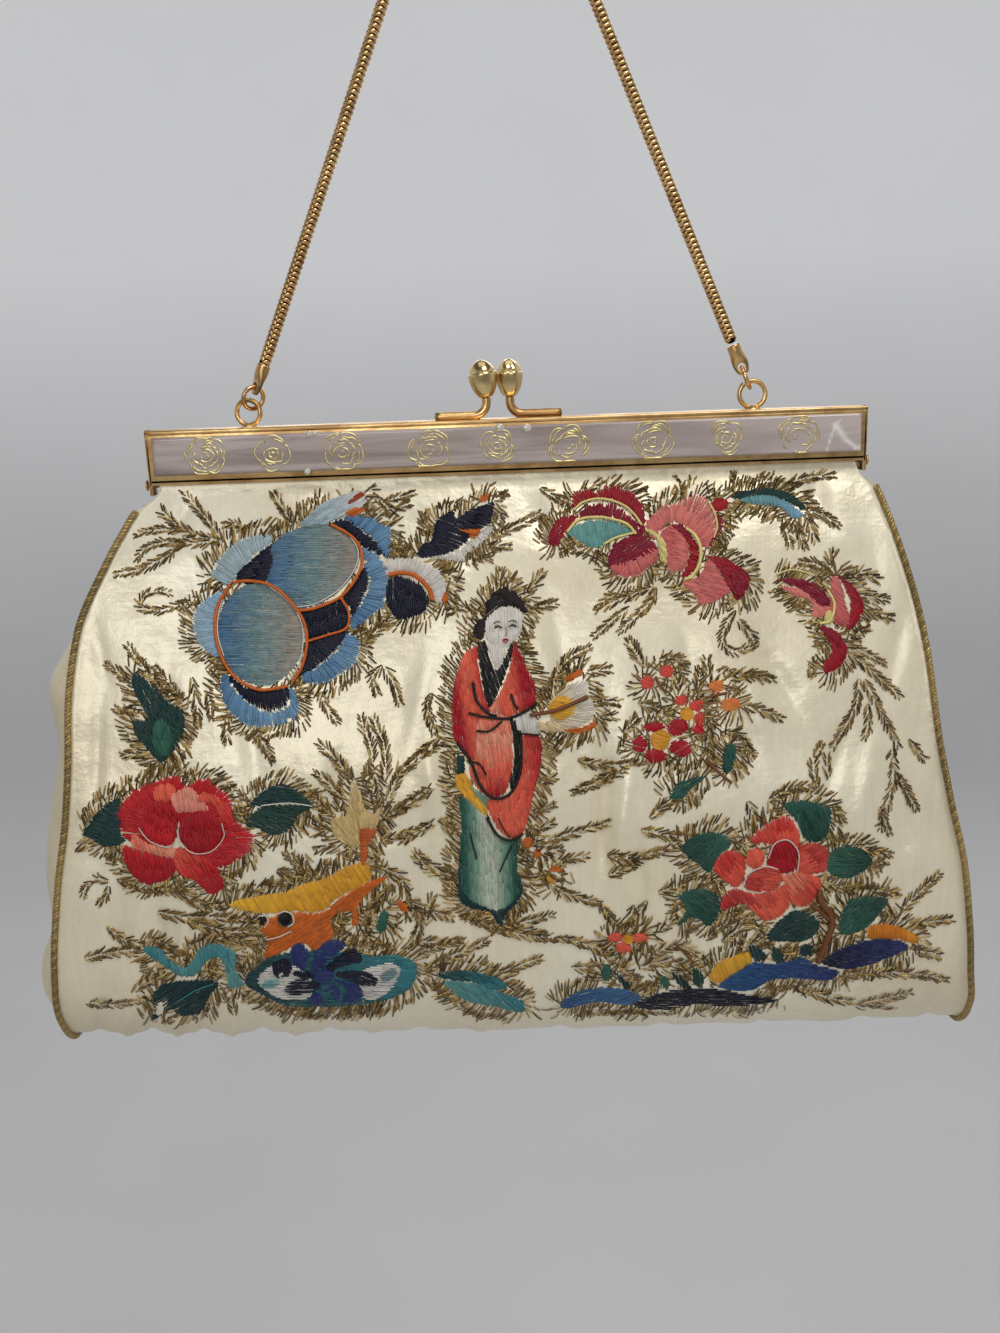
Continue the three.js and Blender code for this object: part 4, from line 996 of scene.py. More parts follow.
0 white: 945 860 1020 800 1100 800 1182 860 1182 940 1060 952 980 912
0 white: 1400 830 1520 795 1572 830 1510 930 1420 952 1380 900; 0 teal: 1005 883 45 18 -10
0 sage: 1520 845 42 22 -25; 80 navy: 1055 817 42 46 0; 75 royal: 1132 765 38 62 -12
60 navy: 1100 830 1180 830 1190 862 1140 862
60 royal: 1190 850 1182 790 1220 712 1290 690 1332 720 1262 790 1232 832
0 navy: 1250 802 1330 742 1392 742 1402 790 1330 802 1270 832
20 navy: 1290 830 1400 828 1472 860 1452 892 1380 882 1300 852
50 royal: 1280 868 1370 880 1412 930 1382 967 1320 960 1332 902
80 royal: 1190 920 1250 880 1302 902 1292 972 1180 972; 0 navy: 1060 900 1120 865 1222 880 1182 920 1100 932
0 royal: 1237 850 46 32 0
white 1.2: 965 110 1080 99 1180 110; white 1.0: 432 208 480 264 560 290 592 268
white 1.0: 608 180 606 250 660 312 742 312 802 250 795 185
white 1.6: 1040 580 1068 568 1100 585 1105 618 1080 636; white 1.4: 955 590 985 590 995 615 980 638
white 1.2: 985 692 1040 680 1095 655; deep 2.0: 1040 610 1068 630 1098 612; sea 1.2: 600 960 680 910 760 882
13: 560 470 640 505 720 560; 9: 300 440 240 432 192 480 200 515; 9: 300 460 290 500 250 545
11: 340 430 450 465 600 480; 13: 510 570 600 592 760 602 900 604; 13: 640 530 780 545
13: 640 612 820 660 940 655; 13: 860 690 930 720; 11: 290 638 360 690 450 720; 11: 195 778 300 752 430 740
12: 480 690 560 722 620 782; 12: 400 930 460 880 570 852; 9: 200 968 300 975 430 965; 12: 425 1090 500 1040
11: 850 1025 830 950; 11: 1080 312 1150 405; 11: 1030 392 1200 412; 11: 900 480 1010 455 1130 430
13: 640 720 760 690 860 700; 12: 1150 320 1180 420; 12: 740 960 680 1040
sheet 250 700 4.9 plume, feather leaf
560,760 cream: 400 640 405 560 450 580 480 520 500 380 540 440 560 520 600 560 640 520 620 620 540 640 530
 722 450 690
80 leaf: 650 1085 26 60 10; 60 orange: 748 1012 16 38 -35; 30 orange: 515 1065 20 40 0
20 deep sea: 920 1350 1000 1320 1150 1340 1262 1390 1220 1422 1100 1382 1000 1372
42 teal sea: 940 1377 1100 1387 1230 1427 1342 1480 1332 1532 1200 1502 1060 1472
13: 560 420 600 280 545 90; 13: 660 400 660 240 608 100; 13: 500 400 420 290 345 218
13: 450 480 380 400 318 358; 13: 420 570 350 520 310 455; 13: 410 700 360 720 325 735
13: 400 630 340 640 330 600; 13: 690 380 820 285 930 205; 12: 640 560 700 430 740 350
13: 660 580 800 490 885 432; 11: 640 690 780 650 905 600; 13: 985 660 960 580; 12: 960 850 880 830 812 745
12: 290 880 240 810 175 745; 12: 320 880 370 800; 12: 130 835 200 870 260 905; 14: 650 820 740 880 770 1060
13: 860 1100 880 1000 900 960; 11: 1020 1050 1230 1100 1450 1145; 11: 830 1235 940 1200 1045 1180
12: 860 1320 1000 1250 1160 1180; 12: 870 1330 950 1420 1060 1520; 11: 1240 1330 1430 1262
9: 865 0 885 80 905 160; 13: 700 900 620 1000 560 1100; 13: 560 1140 600 1190 700 1230
12: 820 1010 830 1100 790 1200; 10: 100 1500 260 1530 480 1540; 12: 570 300 620 380 640 480
sheet 560 740 3.733 lower right peony and ground
70 leaf forest: 835 240 920 225 1000 250 1012 310 985 372 920 377 880 300
-30 forest leaf: 450 405 520 350 600 345 642 385 592 432 560 492 510 462
30 leaf forest: 440 580 510 553 580 570 602 630 560 692 500 660 440 692 470 630
0 leaf forest: 1000 430 1060 393 1130 408 1167 450 1130 492 1070 517 1000 492
-40 leaf forest: 1040 722 1058 630 1110 585 1222 590 1182 660 1120 712
-20 deep forest: 770 742 800 690 870 638 940 650 972 690 932 742 860 752
840,480 coral red: 705 375 790 298 850 283 892 350 882 402 800 392
60 red coral: 573 470 620 413 682 430 692 492 660 552 600 512; 70 coral: 728 440 34 40 0
70 crimson: 773 430 800 383 850 373 887 420 882 482 830 502 778 482
-30 coral crimson: 888 400 960 383 1004 420 992 482 930 502 880 492
50 crimson coral: 600 600 640 555 720 572 790 562 842 540 862 600 832 652 770 677 720 642 680 612 610 637
10 crimson coral: 683 540 730 478 800 473 832 520 790 562 720 562
50 peach coral crimson: 833 510 900 493 972 520 962 582 920 622 870 612 850 562
70 yellow amber: 553 882 590 830 660 798 717 788 712 832 650 872 590 907
90 orange amber: 1153 702 1180 683 1260 693 1332 730 1322 762 1270 747 1163 747
-15 ocean blue: 0 982 60 942 150 923 250 930 302 960 250 987 130 977 30 1002
0 navy: 268 987 350 950 450 930 600 930 700 950 822 967 760 982 650 992 500 987 380 1007
5 ocean royal: 588 917 650 870 720 830 800 835 900 813 960 840 1042 862 1000 897 900 892 800 892 720 932
 650 932
0 navy royal: 973 832 1020 790 1100 758 1180 743 1270 750 1297 777 1200 822 1080 852
70 deep: 205 868 240 890 272 932 240 927; 70 deep: 418 868 460 890 492 932 450 922
85 forest: 498 850 530 870 532 922 500 912; 70 deep: 703 763 750 780 767 812 730 827
70 forest: 788 768 830 790 832 832 800 827; 60 deep: 920 785 28 25 0; 80 leaf: 172 868 18 34 0
80 leaf: 392 905 14 30 -20; 20 coral: 205 735 26 17 0; 20 coral: 300 735 28 17 0; 60 coral: 240 776 26 18 0
0 amber: 255 742 22 16 0; 80 leaf forest: 628 70 24 58 8
-30 leaf forest: 408 212 440 163 500 138 552 133 500 172 450 222
brown 6.5: 965 560 972 600 1005 645 1012 690 990 750 960 825; brown 4.5: 938 612 965 632 1000 665
brown 3.0: 545 80 590 120 640 160; white 1.2: 683 545 700 500 760 470 812 480
white 1.2: 775 440 800 385 850 372 888 418 884 490; forest 1.4: 905 260 935 320 960 372
brown 2.4: 430 760 470 800 500 830
11: 65 75 200 95 290 85; 11: 42 192 150 155 250 115; 12: 335 295 400 235 470 215
12: 300 335 400 355 520 362; 11: 175 430 300 432 420 400; 11: 180 505 270 470; 12: 365 570 460 535
12: 360 722 430 660; 12: 780 225 860 180 950 170; 10: 960 180 945 90 975 18; 10: 1000 150 995 50
13: 1020 240 1052 300; 13: 1110 395 1230 425; 13: 1150 480 1210 450; 13: 1020 545 1150 560 1260 565
12: 1270 640 1350 560 1412 502; 12: 1310 690 1455 668; 12: 1310 785 1420 802; 12: 1060 870 1280 868 1450 892
11: 1100 990 1310 940; 11: 1150 1000 1300 1018 1485 1024; 12: 860 905 980 955 1090 975
11: 500 1012 600 1025 740 1012; 11: 90 1002 280 1005 420 1014; 12: 540 742 620 680 700 640
13: 600 752 700 690 780 690; 11: 155 600 205 690; 11: 325 600 265 685; 12: 0 735 90 760 180 800
13: 40 850 200 850; 13: 330 800 430 770 520 800; 11: 1240 20 1240 160 1190 335; 11: 1250 120 1332 262
10: 1300 0 1360 75; 13: 300 850 380 830 540 850; 12: 660 20 720 60; 10: 1190 250 1230 350
12: 700 230 740 320; 12: 560 20 530 90
""")

# Silk stitches, in picture pixels: spacing, width, longest and shortest, overlap within a row, reach
# past the outline, and unevenness of the ends where the stitches lie straight and where they spread
STITCH, STITCH_WIDTH, LONG, SHORT, OVERLAP, OVER_EDGE = 1.75, 1.75 * 1.25, 17.0, 1.2, 1.6, 0.4
RAGGED_STRAIGHT, RAGGED_SPREAD = 0.6, 1.3
PX = 1 / 4.3       # millimetres for one picture pixel at the bag
PLY = 0.15         # rise of each layer of silk over the one below, in millimetres

# Part of the picture that the front fills, and the step of the lattice laid over it
FRONT_X, FRONT_Y = (48, 984), (458, 1052)
LATTICE_STEP = 4.0
lattice_x, lattice_y = (np.arange(*reach, LATTICE_STEP) for reach in (FRONT_X, FRONT_Y))


def cast_lattice():
    """Places of the front under a lattice of picture pixels."""
    cloth = np.concatenate([slot_rows(-1)[1:], front])
    faces = grid_faces(len(cloth), COLUMNS).tolist()
    tree = BVHTree.FromPolygons([tuple(p) for p in cloth.reshape(-1, 3)], faces)
    found = np.full((len(lattice_y), len(lattice_x), 3), np.nan)
    start = Vector(EYE)
    for i, y in enumerate(lattice_y):
        for j, x in enumerate(lattice_x):
            ray = FORWARD + RIGHT * (x - PICTURE[0] / 2) / FOCAL - UP * (y - PICTURE[1] / 2) / FOCAL
            hit = tree.ray_cast(start, Vector(ray))[0]
            if hit:
                found[i, j] = hit
    return found


LATTICE = cast_lattice()
lattice_normals = unit(np.cross(np.gradient(LATTICE, axis=0), np.gradient(LATTICE, axis=1)))
lattice_normals *= -np.sign(np.nansum(lattice_normals * FORWARD, -1, keepdims=True))


def on_satin(points):
    """Place and normal on the front for points in picture pixels. Misses are nan."""
    u = (points[..., 0] - lattice_x[0]) / LATTICE_STEP
    v = (points[..., 1] - lattice_y[0]) / LATTICE_STEP
    i, j = np.clip(v.astype(int), 0, len(lattice_y) - 2), np.clip(u.astype(int), 0, len(lattice_x) - 2)
    s, t = (u - j)[..., None], (v - i)[..., None]

    def blend(grid):
        upper = grid[i, j] * (1 - s) + grid[i, j + 1] * s
        return upper * (1 - t) + (grid[i + 1, j] * (1 - s) + grid[i + 1, j + 1] * s) * t

    return blend(LATTICE), unit(blend(lattice_normals))


def on_sheet(points, sheet):
    """Picture pixels of points of a sheet."""
    return np.array(points, float) / sheet["scale"] + sheet["corner"]


def outline(shape, sheet):
    """Closed outline of a charted shape, in picture pixels."""
    if isinstance(shape, tuple):
        x, y, rx, ry, turn = shape
        a = np.linspace(0, math.tau, 48, endpoint=False)
        c, s = cos_sin(turn)
        wide, tall = rx * np.cos(a), ry * np.sin(a)
        points = np.stack([x + wide * c - tall * s, y + wide * s + tall * c], 1)
    else:
        points = smooth_line(shape, 6, closed=True)
    return on_sheet(points, sheet)


def ramp_colour(names, t):
    """Colours between the named ones, for t from 0 to 1."""
    stops = np.array([SILKS[name] for name in names.lstrip("|").split()])
    at = np.clip(t, 0, 1) * (len(stops) - 1)
    k = np.minimum(at.astype(int), max(len(stops) - 2, 0))
    return stops[k] + (stops[np.minimum(k + 1, len(stops) - 1)] - stops[k]) * (at - k)[:, None]


def fill_stitches(shape, lay, names, sheet):
    """Satin stitches over a shape: rows of (x0, y0, x1, y1, width, level, red, green, blue)."""
    points = outline(shape, sheet)
    if isinstance(lay, tuple):
        focus = on_sheet(lay, sheet)
        d = points - focus
        reach = np.hypot(*d.T)
        mean = reach.mean()
        u, v = reach, np.unwrap(np.arctan2(d[:, 1], d[:, 0])) * mean
        place = lambda a, b: focus + a[:, None] * np.stack([np.cos(b / mean), np.sin(b / mean)], 1)
        around = abs(v[-1] - v[0]) > math.pi * mean
    else:
        around = False
        c, s = cos_sin(lay)
        u, v = points @ [c, s], points @ [-s, c]
        place = lambda a, b: np.stack([a * c - b * s, a * s + b * c], 1)
    u2, v2 = np.roll(u, -1), np.roll(v, -1)
    if around:
        v2[-1] = v[0] + math.copysign(math.tau * mean, v[-1] - v[0])
    ragged = RAGGED_SPREAD if isinstance(lay, tuple) else RAGGED_STRAIGHT
    runs = []
    for row in np.arange(v.min() + 0.5, v.max(), STITCH):
        hit = (v <= row) != (v2 <= row)
        cross = np.sort(u[hit] + (row - v[hit]) * (u2[hit] - u[hit]) / (v2[hit] - v[hit]))
        if around:
            cross = np.concatenate([[0.25 * mean], cross])
        for a, b in zip(cross[::2], cross[1::2]):
            if b - a < SHORT:
                continue
            pieces = max(1, round((b - a) / LONG))
            cuts = np.linspace(a, b, pieces + 1)
            cuts[1:-1] += rng.uniform(-0.3, 0.3, pieces - 1) * (b - a) / pieces
            first, last = (OVER_EDGE + ragged * rng.normal() for _ in range(2))
            joins = [OVERLAP] * (pieces - 1)
            ends = zip(cuts, cuts[1:], [first, *joins], [*joins, last])
            runs += [(p - more, q + beyond, row) for p, q, more, beyond in ends]
    if not runs:
        return np.zeros((0, 9))
    p, q, row = np.array(runs).T
    p, q = np.minimum(p, q - 0.6), np.maximum(q, p + 0.6)
    row = row + rng.normal(0, 0.15, len(row))
    low, high = place(p, row), place(q, row)
    if names.startswith("|"):
        t = (row - v.min()) / max(np.ptp(v), 1e-6)
        t = 1 - t if not isinstance(lay, tuple) and c < 0.5 else t
    else:
        t = ((p + q) / 2 - u.min()) / max(np.ptp(u), 1e-6)
        if len(names.split()) > 1 and np.ptp(u) > 1:
            t = t + rng.normal(0, 0.05, len(t))
    uneven = 0.05 if names == "skin" else 0.15
    colour = ramp_colour(names, t) * (0.97 + rng.uniform(-uneven, uneven, (len(t), 1)))
    return np.column_stack([low, high, np.full(len(t), STITCH_WIDTH), np.zeros(len(t)), colour])


# bronze tints for the gold thread; the palest, d8ba7a, is a painted glint
BRONZE_AND_GLINT_TINTS = np.array([linear(code) for code in ("7c6339", "8f7344", "ab8b53", "d8ba7a", "5c4829")])
GOLD_WIDTH = 1.6                            # of a gold stitch, in picture pixels
FRINGE_ROWS = ((-1.0, 13.0), (7.0, 10.0))   # distance from the outline and reach, in picture pixels
FRINGE_STEP, FRINGE_SLANT = 2.7, (34, 9)    # spacing in picture pixels, slant and its unevenness in degrees
SPRAY_STEP, SPRAY_SLANT = 3.5, (24, 6)


# a random tint for each gold stitch, some of them painted glints
def bronze_and_glint_tint(count):
    return BRONZE_AND_GLINT_TINTS[rng.integers(0, len(BRONZE_AND_GLINT_TINTS), count)] * rng.uniform(0.85, 1.2, (count, 1))


def gold_rows(start, way, reach, level=0.0):
    """Gold stitches from their starts, as rows like those of the silk."""
    count = len(start)
    level = level + rng.uniform(0, 0.05, count)
    return np.column_stack([start, start + way * reach[:, None], np.full(count, GOLD_WIDTH), level,
                            bronze_and_glint_tint(count)])


def turned(way, degrees):
    """Directions in the picture, each turned by its own angle."""
    c, s = np.cos(np.radians(degrees)), np.sin(np.radians(degrees))
    return np.stack([way[:, 0] * c - way[:, 1] * s, way[:, 0] * s + way[:, 1] * c], 1)


def even_line(points, spacing, closed=False):
    """Even spots along a line: their distances, places and directions."""
    line = np.concatenate([points, points[:1]]) if closed else points
    run = distances(np.hypot(*np.diff(line, axis=0).T))
    s = np.arange(0, run[-1], spacing)
    return s, sample(line, run, s), unit(sample(line, run, s + 0.8) - sample(line, run, s - 0.8))


def fringe(shape, sheet):
    """Short slanting gold stitches that stand outwards round a shape, in two rows."""
    s, at, ahead = even_line(outline(shape, sheet), FRINGE_STEP, closed=True)
    area = np.sum(at[:, 0] * np.roll(at[:, 1], -1) - at[:, 1] * np.roll(at[:, 0], -1))
    out = np.stack([ahead[:, 1], -ahead[:, 0]], 1) * np.sign(area)
    rows = []
    for gap, reach in FRINGE_ROWS:
        tuft = 1 + 0.28 * np.sin(s / 5.2 + gap) + 0.18 * np.sin(s / 2.1)
        slant = FRINGE_SLANT[0] + rng.normal(0, FRINGE_SLANT[1], len(s))
        start = at + out * gap + rng.normal(0, 0.5, at.shape)
        rows.append(gold_rows(start, turned(out, slant), reach * tuft * rng.uniform(0.8, 1.15, len(s))))
    return np.concatenate(rows)


def spray(reach, points, sheet):
    """A sprig: slanting stitches on both sides of a stem, shorter at its tip."""
    s, at, ahead = even_line(smooth_line(on_sheet(points, sheet), 8), SPRAY_STEP)
    taper = np.clip(1.12 - (s / max(s[-1], 1)) ** 3 * 0.6, 0.4, 1)
    rows = []
    for side in (-1, 1):
        way = turned(ahead, side * (SPRAY_SLANT[0] + rng.normal(0, SPRAY_SLANT[1], len(s))))
        normal = np.stack([-ahead[:, 1], ahead[:, 0]], 1) * side
        start = at + normal * 0.8 + rng.normal(0, 0.4, at.shape)
        rows.append(gold_rows(start, way, reach * taper * rng.uniform(0.8, 1.1, len(s)), 0.06))
    return np.concatenate(rows)


def covered(points):
    """Mask of the picture pixels inside an outline."""
    mask = np.zeros((PICTURE[1], PICTURE[0]), bool)
    x0, y0 = np.floor(points.min(0)).astype(int)
    x1, y1 = np.ceil(points.max(0)).astype(int)
    x, y = np.meshgrid(np.arange(x0, x1 + 1), np.arange(y0, y1 + 1))
    inside = np.zeros(x.shape, bool)
    for (ax, ay), (bx, by) in zip(points, np.roll(points, -1, 0)):
        if ay != by:
            inside ^= ((ay > y) != (by > y)) & (x < (bx - ax) * (y - ay) / (by - ay) + ax)
    mask[y0:y1 + 1, x0:x1 + 1] = inside
    return mask


# A stitch from end to end: places and thickness of its rings, then how far it is flattened
STITCH_RINGS, STITCH_THICK = np.array([0.0, 0.1, 0.5, 0.9, 1.0]), np.array([0.2, 0.85, 1.0, 0.85, 0.2])
FLAT_WIDE, FLAT_HIGH = 1.25, 0.62
TOO_LONG = 12.0      # a stitch that would span more than this, in millimetres, is left out
END_SINK = 0.06      # its ends dip this far into the cloth
TWIST = 0.45         # length of one twist of the thread


def sew(rows, name, material, slot, arch, sides=4):
    """One mesh of flattened, arched stitches laid on the satin."""
    low, low_normal = on_satin(rows[:, 0:2])
    high, high_normal = on_satin(rows[:, 2:4])
    keep = ~np.any([np.isnan(values).any(1) for values in (low, high, low_normal, high_normal)], axis=0)
    keep &= np.linalg.norm(high - low, axis=1) < TOO_LONG
    rows, low, high = rows[keep], low[keep], high[keep]
    span = high - low
    length = np.linalg.norm(span, axis=1)
    way = unit(span)
    sideways = unit(np.cross(way, unit(low_normal[keep] + high_normal[keep])))
    normal = np.cross(sideways, way)
    half = rows[:, 4] * PX / 2
    t = STITCH_RINGS[None, :]
    arched = arch * np.minimum(length, 4)[:, None] * 4 * t * (1 - t)
    lift = rows[:, 5][:, None] + half[:, None] * 0.45 * STITCH_THICK + arched
    lift = lift - END_SINK * (np.abs(t - 0.5) > 0.45)
    middle = low[:, None] + span[:, None] * t[..., None] + normal[:, None] * lift[..., None]
    angle = np.linspace(0, math.tau, sides, endpoint=False)[None, None, :, None] + math.pi / 4
    ring = (sideways[:, None, None] * np.cos(angle) * FLAT_WIDE
            + normal[:, None, None] * np.sin(angle) * FLAT_HIGH)
    points = middle[:, :, None] + ring * (half[:, None] * STITCH_THICK)[:, :, None, None]
    count, each = len(rows), len(STITCH_RINGS) * sides
    one = grid_faces(len(STITCH_RINGS), sides, wrap=True)
    faces = (one[None] + (np.arange(count) * each)[:, None, None]).reshape(-1, 4)
    along = (length[:, None] * t / TWIST)[:, :, None] + np.arange(sides) / sides
    return make_object(name, points.reshape(-1, 3), faces, material, slot,
                       attributes={"tint": np.repeat(rows[:, 6:9], each, axis=0), "along": along.ravel()})


def under(values, points):
    """Values of a picture map at points."""
    x = np.clip(points[..., 0].round().astype(int), 0, PICTURE[0] - 1)
    y = np.clip(points[..., 1].round().astype(int), 0, PICTURE[1] - 1)
    return values[y, x]


def cord_path(points, sheet, lift):
    """Line of a couched cord on the satin or on the silk that lies there."""
    line = smooth_line(on_sheet(points, sheet), 10)
    place, normal = on_satin(line)
    good = ~np.isnan(place).any(1)
    return place[good] + normal[good] * (lift + PLY * under(pile, line))[good][:, None]


silk, gold = [], []
pile = np.zeros((PICTURE[1], PICTURE[0]))
for sheet in CHART:
    for lay, names, shape in sheet["shapes"]:
        rows = fill_stitches(shape, lay, names, sheet)
        low, high = rows[:, 0:2], rows[:, 2:4]
        rows[:, 5] = PLY * np.maximum(under(pile, (low + high) / 2), under(pile, low))
        silk.append(rows)
        pile += covered(outline(shape, sheet))
    for lay, names, shape in sheet["shapes"]:
        gold.append(fringe(shape, sheet))
    for reach, points in sheet["sprays"]:
        gold.append(spray(reach, points, sheet))
silk, gold = np.concatenate(silk), np.concatenate(gold)
on_silk = [under(pile, gold[:, 0:2] * (1 - t) + gold[:, 2:4] * t) > 0 for t in (0.45, 0.7, 1.0)]
gold = gold[~np.any(on_silk, axis=0)]
# Where rows of gold cross, only so many stitches start in one small patch of cloth
PATCH, PATCH_STITCHES = 5, 3
cell = (gold[:, 0:2] // PATCH).astype(int) @ np.array([1, 1000])
order = rng.permutation(len(gold))
counts = np.unique(cell[order], return_counts=True)[1]
rank = np.zeros(len(gold), int)
sorted_cells = np.argsort(cell[order], kind="stable")
rank[sorted_cells] = np.arange(len(gold)) - np.repeat(np.cumsum(counts) - counts, counts)
gold = gold[order[rank < PATCH_STITCHES]]

for kind, rows, material, arch, sides in (("silk", silk, SILK, 0.03, 4), ("gold", gold, GOLD, 0.07, 3)):
    half = len(rows) // 2
    for letter, share in (("a", rows[:half]), ("b", rows[half:])):
        sew(share, f"{kind}_stitches_{letter}", material, f"{kind}_thread", arch, sides)
laid = Parts()
CORD_RISE = 0.32     # of a couched cord over the cloth, in millimetres
for sheet in CHART:
    for name, wide, line in sheet["cords"]:
        path = cord_path(line, sheet, CORD_RISE + wide * PX * 0.2)
        if len(path) > 3:
            points, faces = tube(path, wide * PX * 0.5, 7, FORWARD)
            laid.add(points, faces, tint=np.tile(SILKS[name], (len(points), 1)),
                     along=np.linspace(0, len(path), len(points)))
laid.build("couched_cords", SILK, "silk_thread")


# Gilt frame
def window_frame(parts, face, reach):
    """Rails round the pearl bar, its backing, and the legs under the ends."""
    near, far = HALF_GAP / 2, HALF_GAP / 2 + HALF_DEPTH
    span = lambda a, b: (min(face * a, face * b), max(face * a, face * b))
    y0, y1 = span(near, far)
    top = reach + END_FLARE
    foot = -FRAME_HEIGHT
    parts.add(*box(-top, top, y0, y1, -TOP_RAIL, 0, 0.32))
    parts.add(*box(-reach, reach, *span(far - 1.5, far), foot, foot + BOTTOM_RAIL, 0.62, 4))
    parts.add(*box(-reach, reach, y0, y1 if face < 0 else SLOT_FACE - 2.3, foot, -1, 0.1))
    parts.add(*box(-reach, reach, *span(far - 1.5, far - WINDOW_DEPTH), foot + 0.5, -0.5, 0.05))
    parts.add(*box(-reach + 0.5, reach - 0.5, *span(near, far - WINDOW_DEPTH), -9.3, -0.5, 0.05))
    for side in (-1, 1):
        points, faces = box(reach - END_RAIL, reach, y0, y1, -LEG_DROP, 0, 0.3)
        points[:, 0] = side * (points[:, 0] + END_FLARE * np.clip((points[:, 2] + 9) / 9, 0, 1))
        parts.add(points, faces if side > 0 else faces[:, ::-1])


STEM_FOOT, STEM_BEND = 12.0, 3.0    # length of a stem's foot on the rail and radius of its bend
KNOB_FOOT = 5.0


def stem_line(side, up_x, y):
    """Middle of a clasp stem: along the rail, round its bend and up into the knob."""
    foot_z = STEM - 0.2
    turn = np.linspace(0, math.pi / 2, 12)
    place = lambda x, z: np.stack(np.broadcast_arrays(x, y, z), 1)
    foot = place(np.linspace(up_x + side * STEM_FOOT, up_x + side * (STEM_BEND + 0.1), 8), foot_z)
    corner = place(up_x + side * STEM_BEND * (1 - np.sin(turn)), foot_z + STEM_BEND * (1 - np.cos(turn)))
    rise = place(up_x, np.linspace(foot_z + STEM_BEND + 0.1, KNOB_FOOT - 0.1, 3))
    return np.concatenate([foot, corner, rise])


STEM_DEPTH = HALF_GAP / 2 + STEM
KNOB_SPREAD = (KNOB_RADIUS * 1.92 + 0.4) / 2
FRONT_STEM = -2.65 - KNOB_SPREAD + 1.2
BACK_STEM = -2.65 + KNOB_SPREAD

front_frame = Parts()
window_frame(front_frame, -1, FRONT_REACH)
front_frame.add(*tube(stem_line(-1, FRONT_STEM, -STEM_DEPTH), STEM, 16, (0, 1, 0)))
front_frame.build("gilt_frame_front", GILT, "gilt_frame", replaces=["frame_front"])

back_frame = Parts()
window_frame(back_frame, 1, BACK_REACH)
back_frame.add(*tube(stem_line(1, BACK_STEM, STEM_DEPTH), STEM, 16, (0, 1, 0)))
EYE_STARTS = {-1: math.radians(200), 1: math.radians(160)}
for end in ENDS:
    side, radius = end["side"], end["eye"]
    turn = math.radians(end["eye_turn"])
    centre = (HANDLE_OFFSET + side * EYE_SPREAD, MIDDLE_DEPTH, radius + EYE_WIRE - 0.2)
    axis = (-math.sin(turn), math.cos(turn), 0)
    back_frame.add(*ring(centre, radius, EYE_WIRE, axis, EYE_STARTS[side], math.radians(352)))
    points, faces = lathe([(0.02, -0.1), (2.0, -0.1), (1.7, 0.25), (1.1, 0.7), (0.5, 0.95), (0.02, 1.0)], 24)
    back_frame.add(points + np.array([centre[0], MIDDLE_DEPTH, 0]), faces)
back_frame.build("gilt_frame_back", GILT, "gilt_frame", replaces=["frame_back"])

# Pearl bars and foil roses
PEARL_RISE = 0.6     # of the bar above its window
PEARL_FACE = HALF_GAP / 2 + HALF_DEPTH + PEARL_RISE
PEARL_TOP, PEARL_FOOT = -TOP_RAIL - SEAT, BOTTOM_RAIL + SEAT - FRAME_HEIGHT
# Crinkles that catch the light on the right end of the bar: from, to, width
FRONT_CRINKLES = [
    ((76.4, -4.3), (75.3, -7.2), 0.26), ((75.3, -7.2), (74.5, -10.2), 0.18),
    ((76.5, -4.2), (79.0, -7.7), 0.66), ((79.0, -7.7), (82.3, -10.2), 0.44),
    ((76.6, -4.2), (77.5, -3.0), 0.20), ((81.0, -9.8), (82.4, -9.2), 0.30),
]


def pearl_bar(face, reach, name, crinkles):
    """The outer face of a bar, rounded to its edges, with its crinkles raised and given painted highlights.
    """
    half = reach - END_RAIL - SEAT
    count = 330 if crinkles else 160
    xs = np.concatenate([[-half, -half + 0.1, -half + 0.35], np.linspace(-half + 0.7, half - 0.7, count),
                         [half - 0.35, half - 0.1, half]])
    middle = (PEARL_TOP + PEARL_FOOT) / 2
    tall = (PEARL_TOP - PEARL_FOOT) / 2
    t = np.linspace(-1, 1, 41)
    edge = lambda d: np.sqrt(np.clip(1 - (1 - np.clip(d / 0.7, 0, 1)) ** 2, 0, 1))
    z = middle + tall * t
    rise = edge(tall * (1 - np.abs(t)))[None, :] * edge(half - np.abs(xs) + 0.05)[:, None]
    depth = PEARL_FACE - (WINDOW_DEPTH - SEAT + PEARL_RISE) * (1 - rise)
    x, zz = np.broadcast_arrays(xs[:, None], z[None, :])
    # painted highlight: how strongly each place lies on a crinkle that catches the light
    crinkle_highlight = np.zeros_like(x)
    for (ax, az), (bx, bz), width in crinkles:
        run = np.array([bx - ax, bz - az])
        s = np.clip(((x - ax) * run[0] + (zz - az) * run[1]) / (run @ run), 0, 1)
        gap = np.hypot(x - ax - s * run[0], zz - az - s * run[1])
        crinkle_highlight = np.maximum(crinkle_highlight, np.exp(-(gap / width) ** 2) * (0.95 - 0.35 * s))
    depth = depth + 0.12 * crinkle_highlight
    points = np.stack([x, face * depth, zz], -1)
    faces = grid_faces(len(xs), len(t))
    return make_object(name, points.reshape(-1, 3), faces if face < 0 else faces[:, ::-1], PEARL,
                       "pearl_plastic", [f"pearl_bar_{'front' if face < 0 else 'back'}"],
                       attributes={"crinkle_highlight": crinkle_highlight.ravel()})


pearl_bar(-1, FRONT_REACH, "pearl_inlay_front", FRONT_CRINKLES)
pearl_bar(1, BACK_REACH, "pearl_inlay_back", [])

# Foil roses: x and z of the middle, size, kind and how much foil is worn off
ROSES = [
    (-70.4, -5.9, 4.7, "open", 0.10), (-54.9, -6.0, 4.1, "bud", 0.2), (-38.8, -6.3, 4.9, "open", 0.15),
    (-18.7, -6.3, 4.9, "open", 0.1), (-2.8, -6.3, 4.1, "bud", 0.15), (13.8, -6.6, 4.8, "open", 0.15),
    (33.7, -6.1, 4.9, "open", 0.1), (50.7, -6.1, 4.1, "bud", 0.2), (67.8, -6.1, 4.9, "open", 0.3),
]


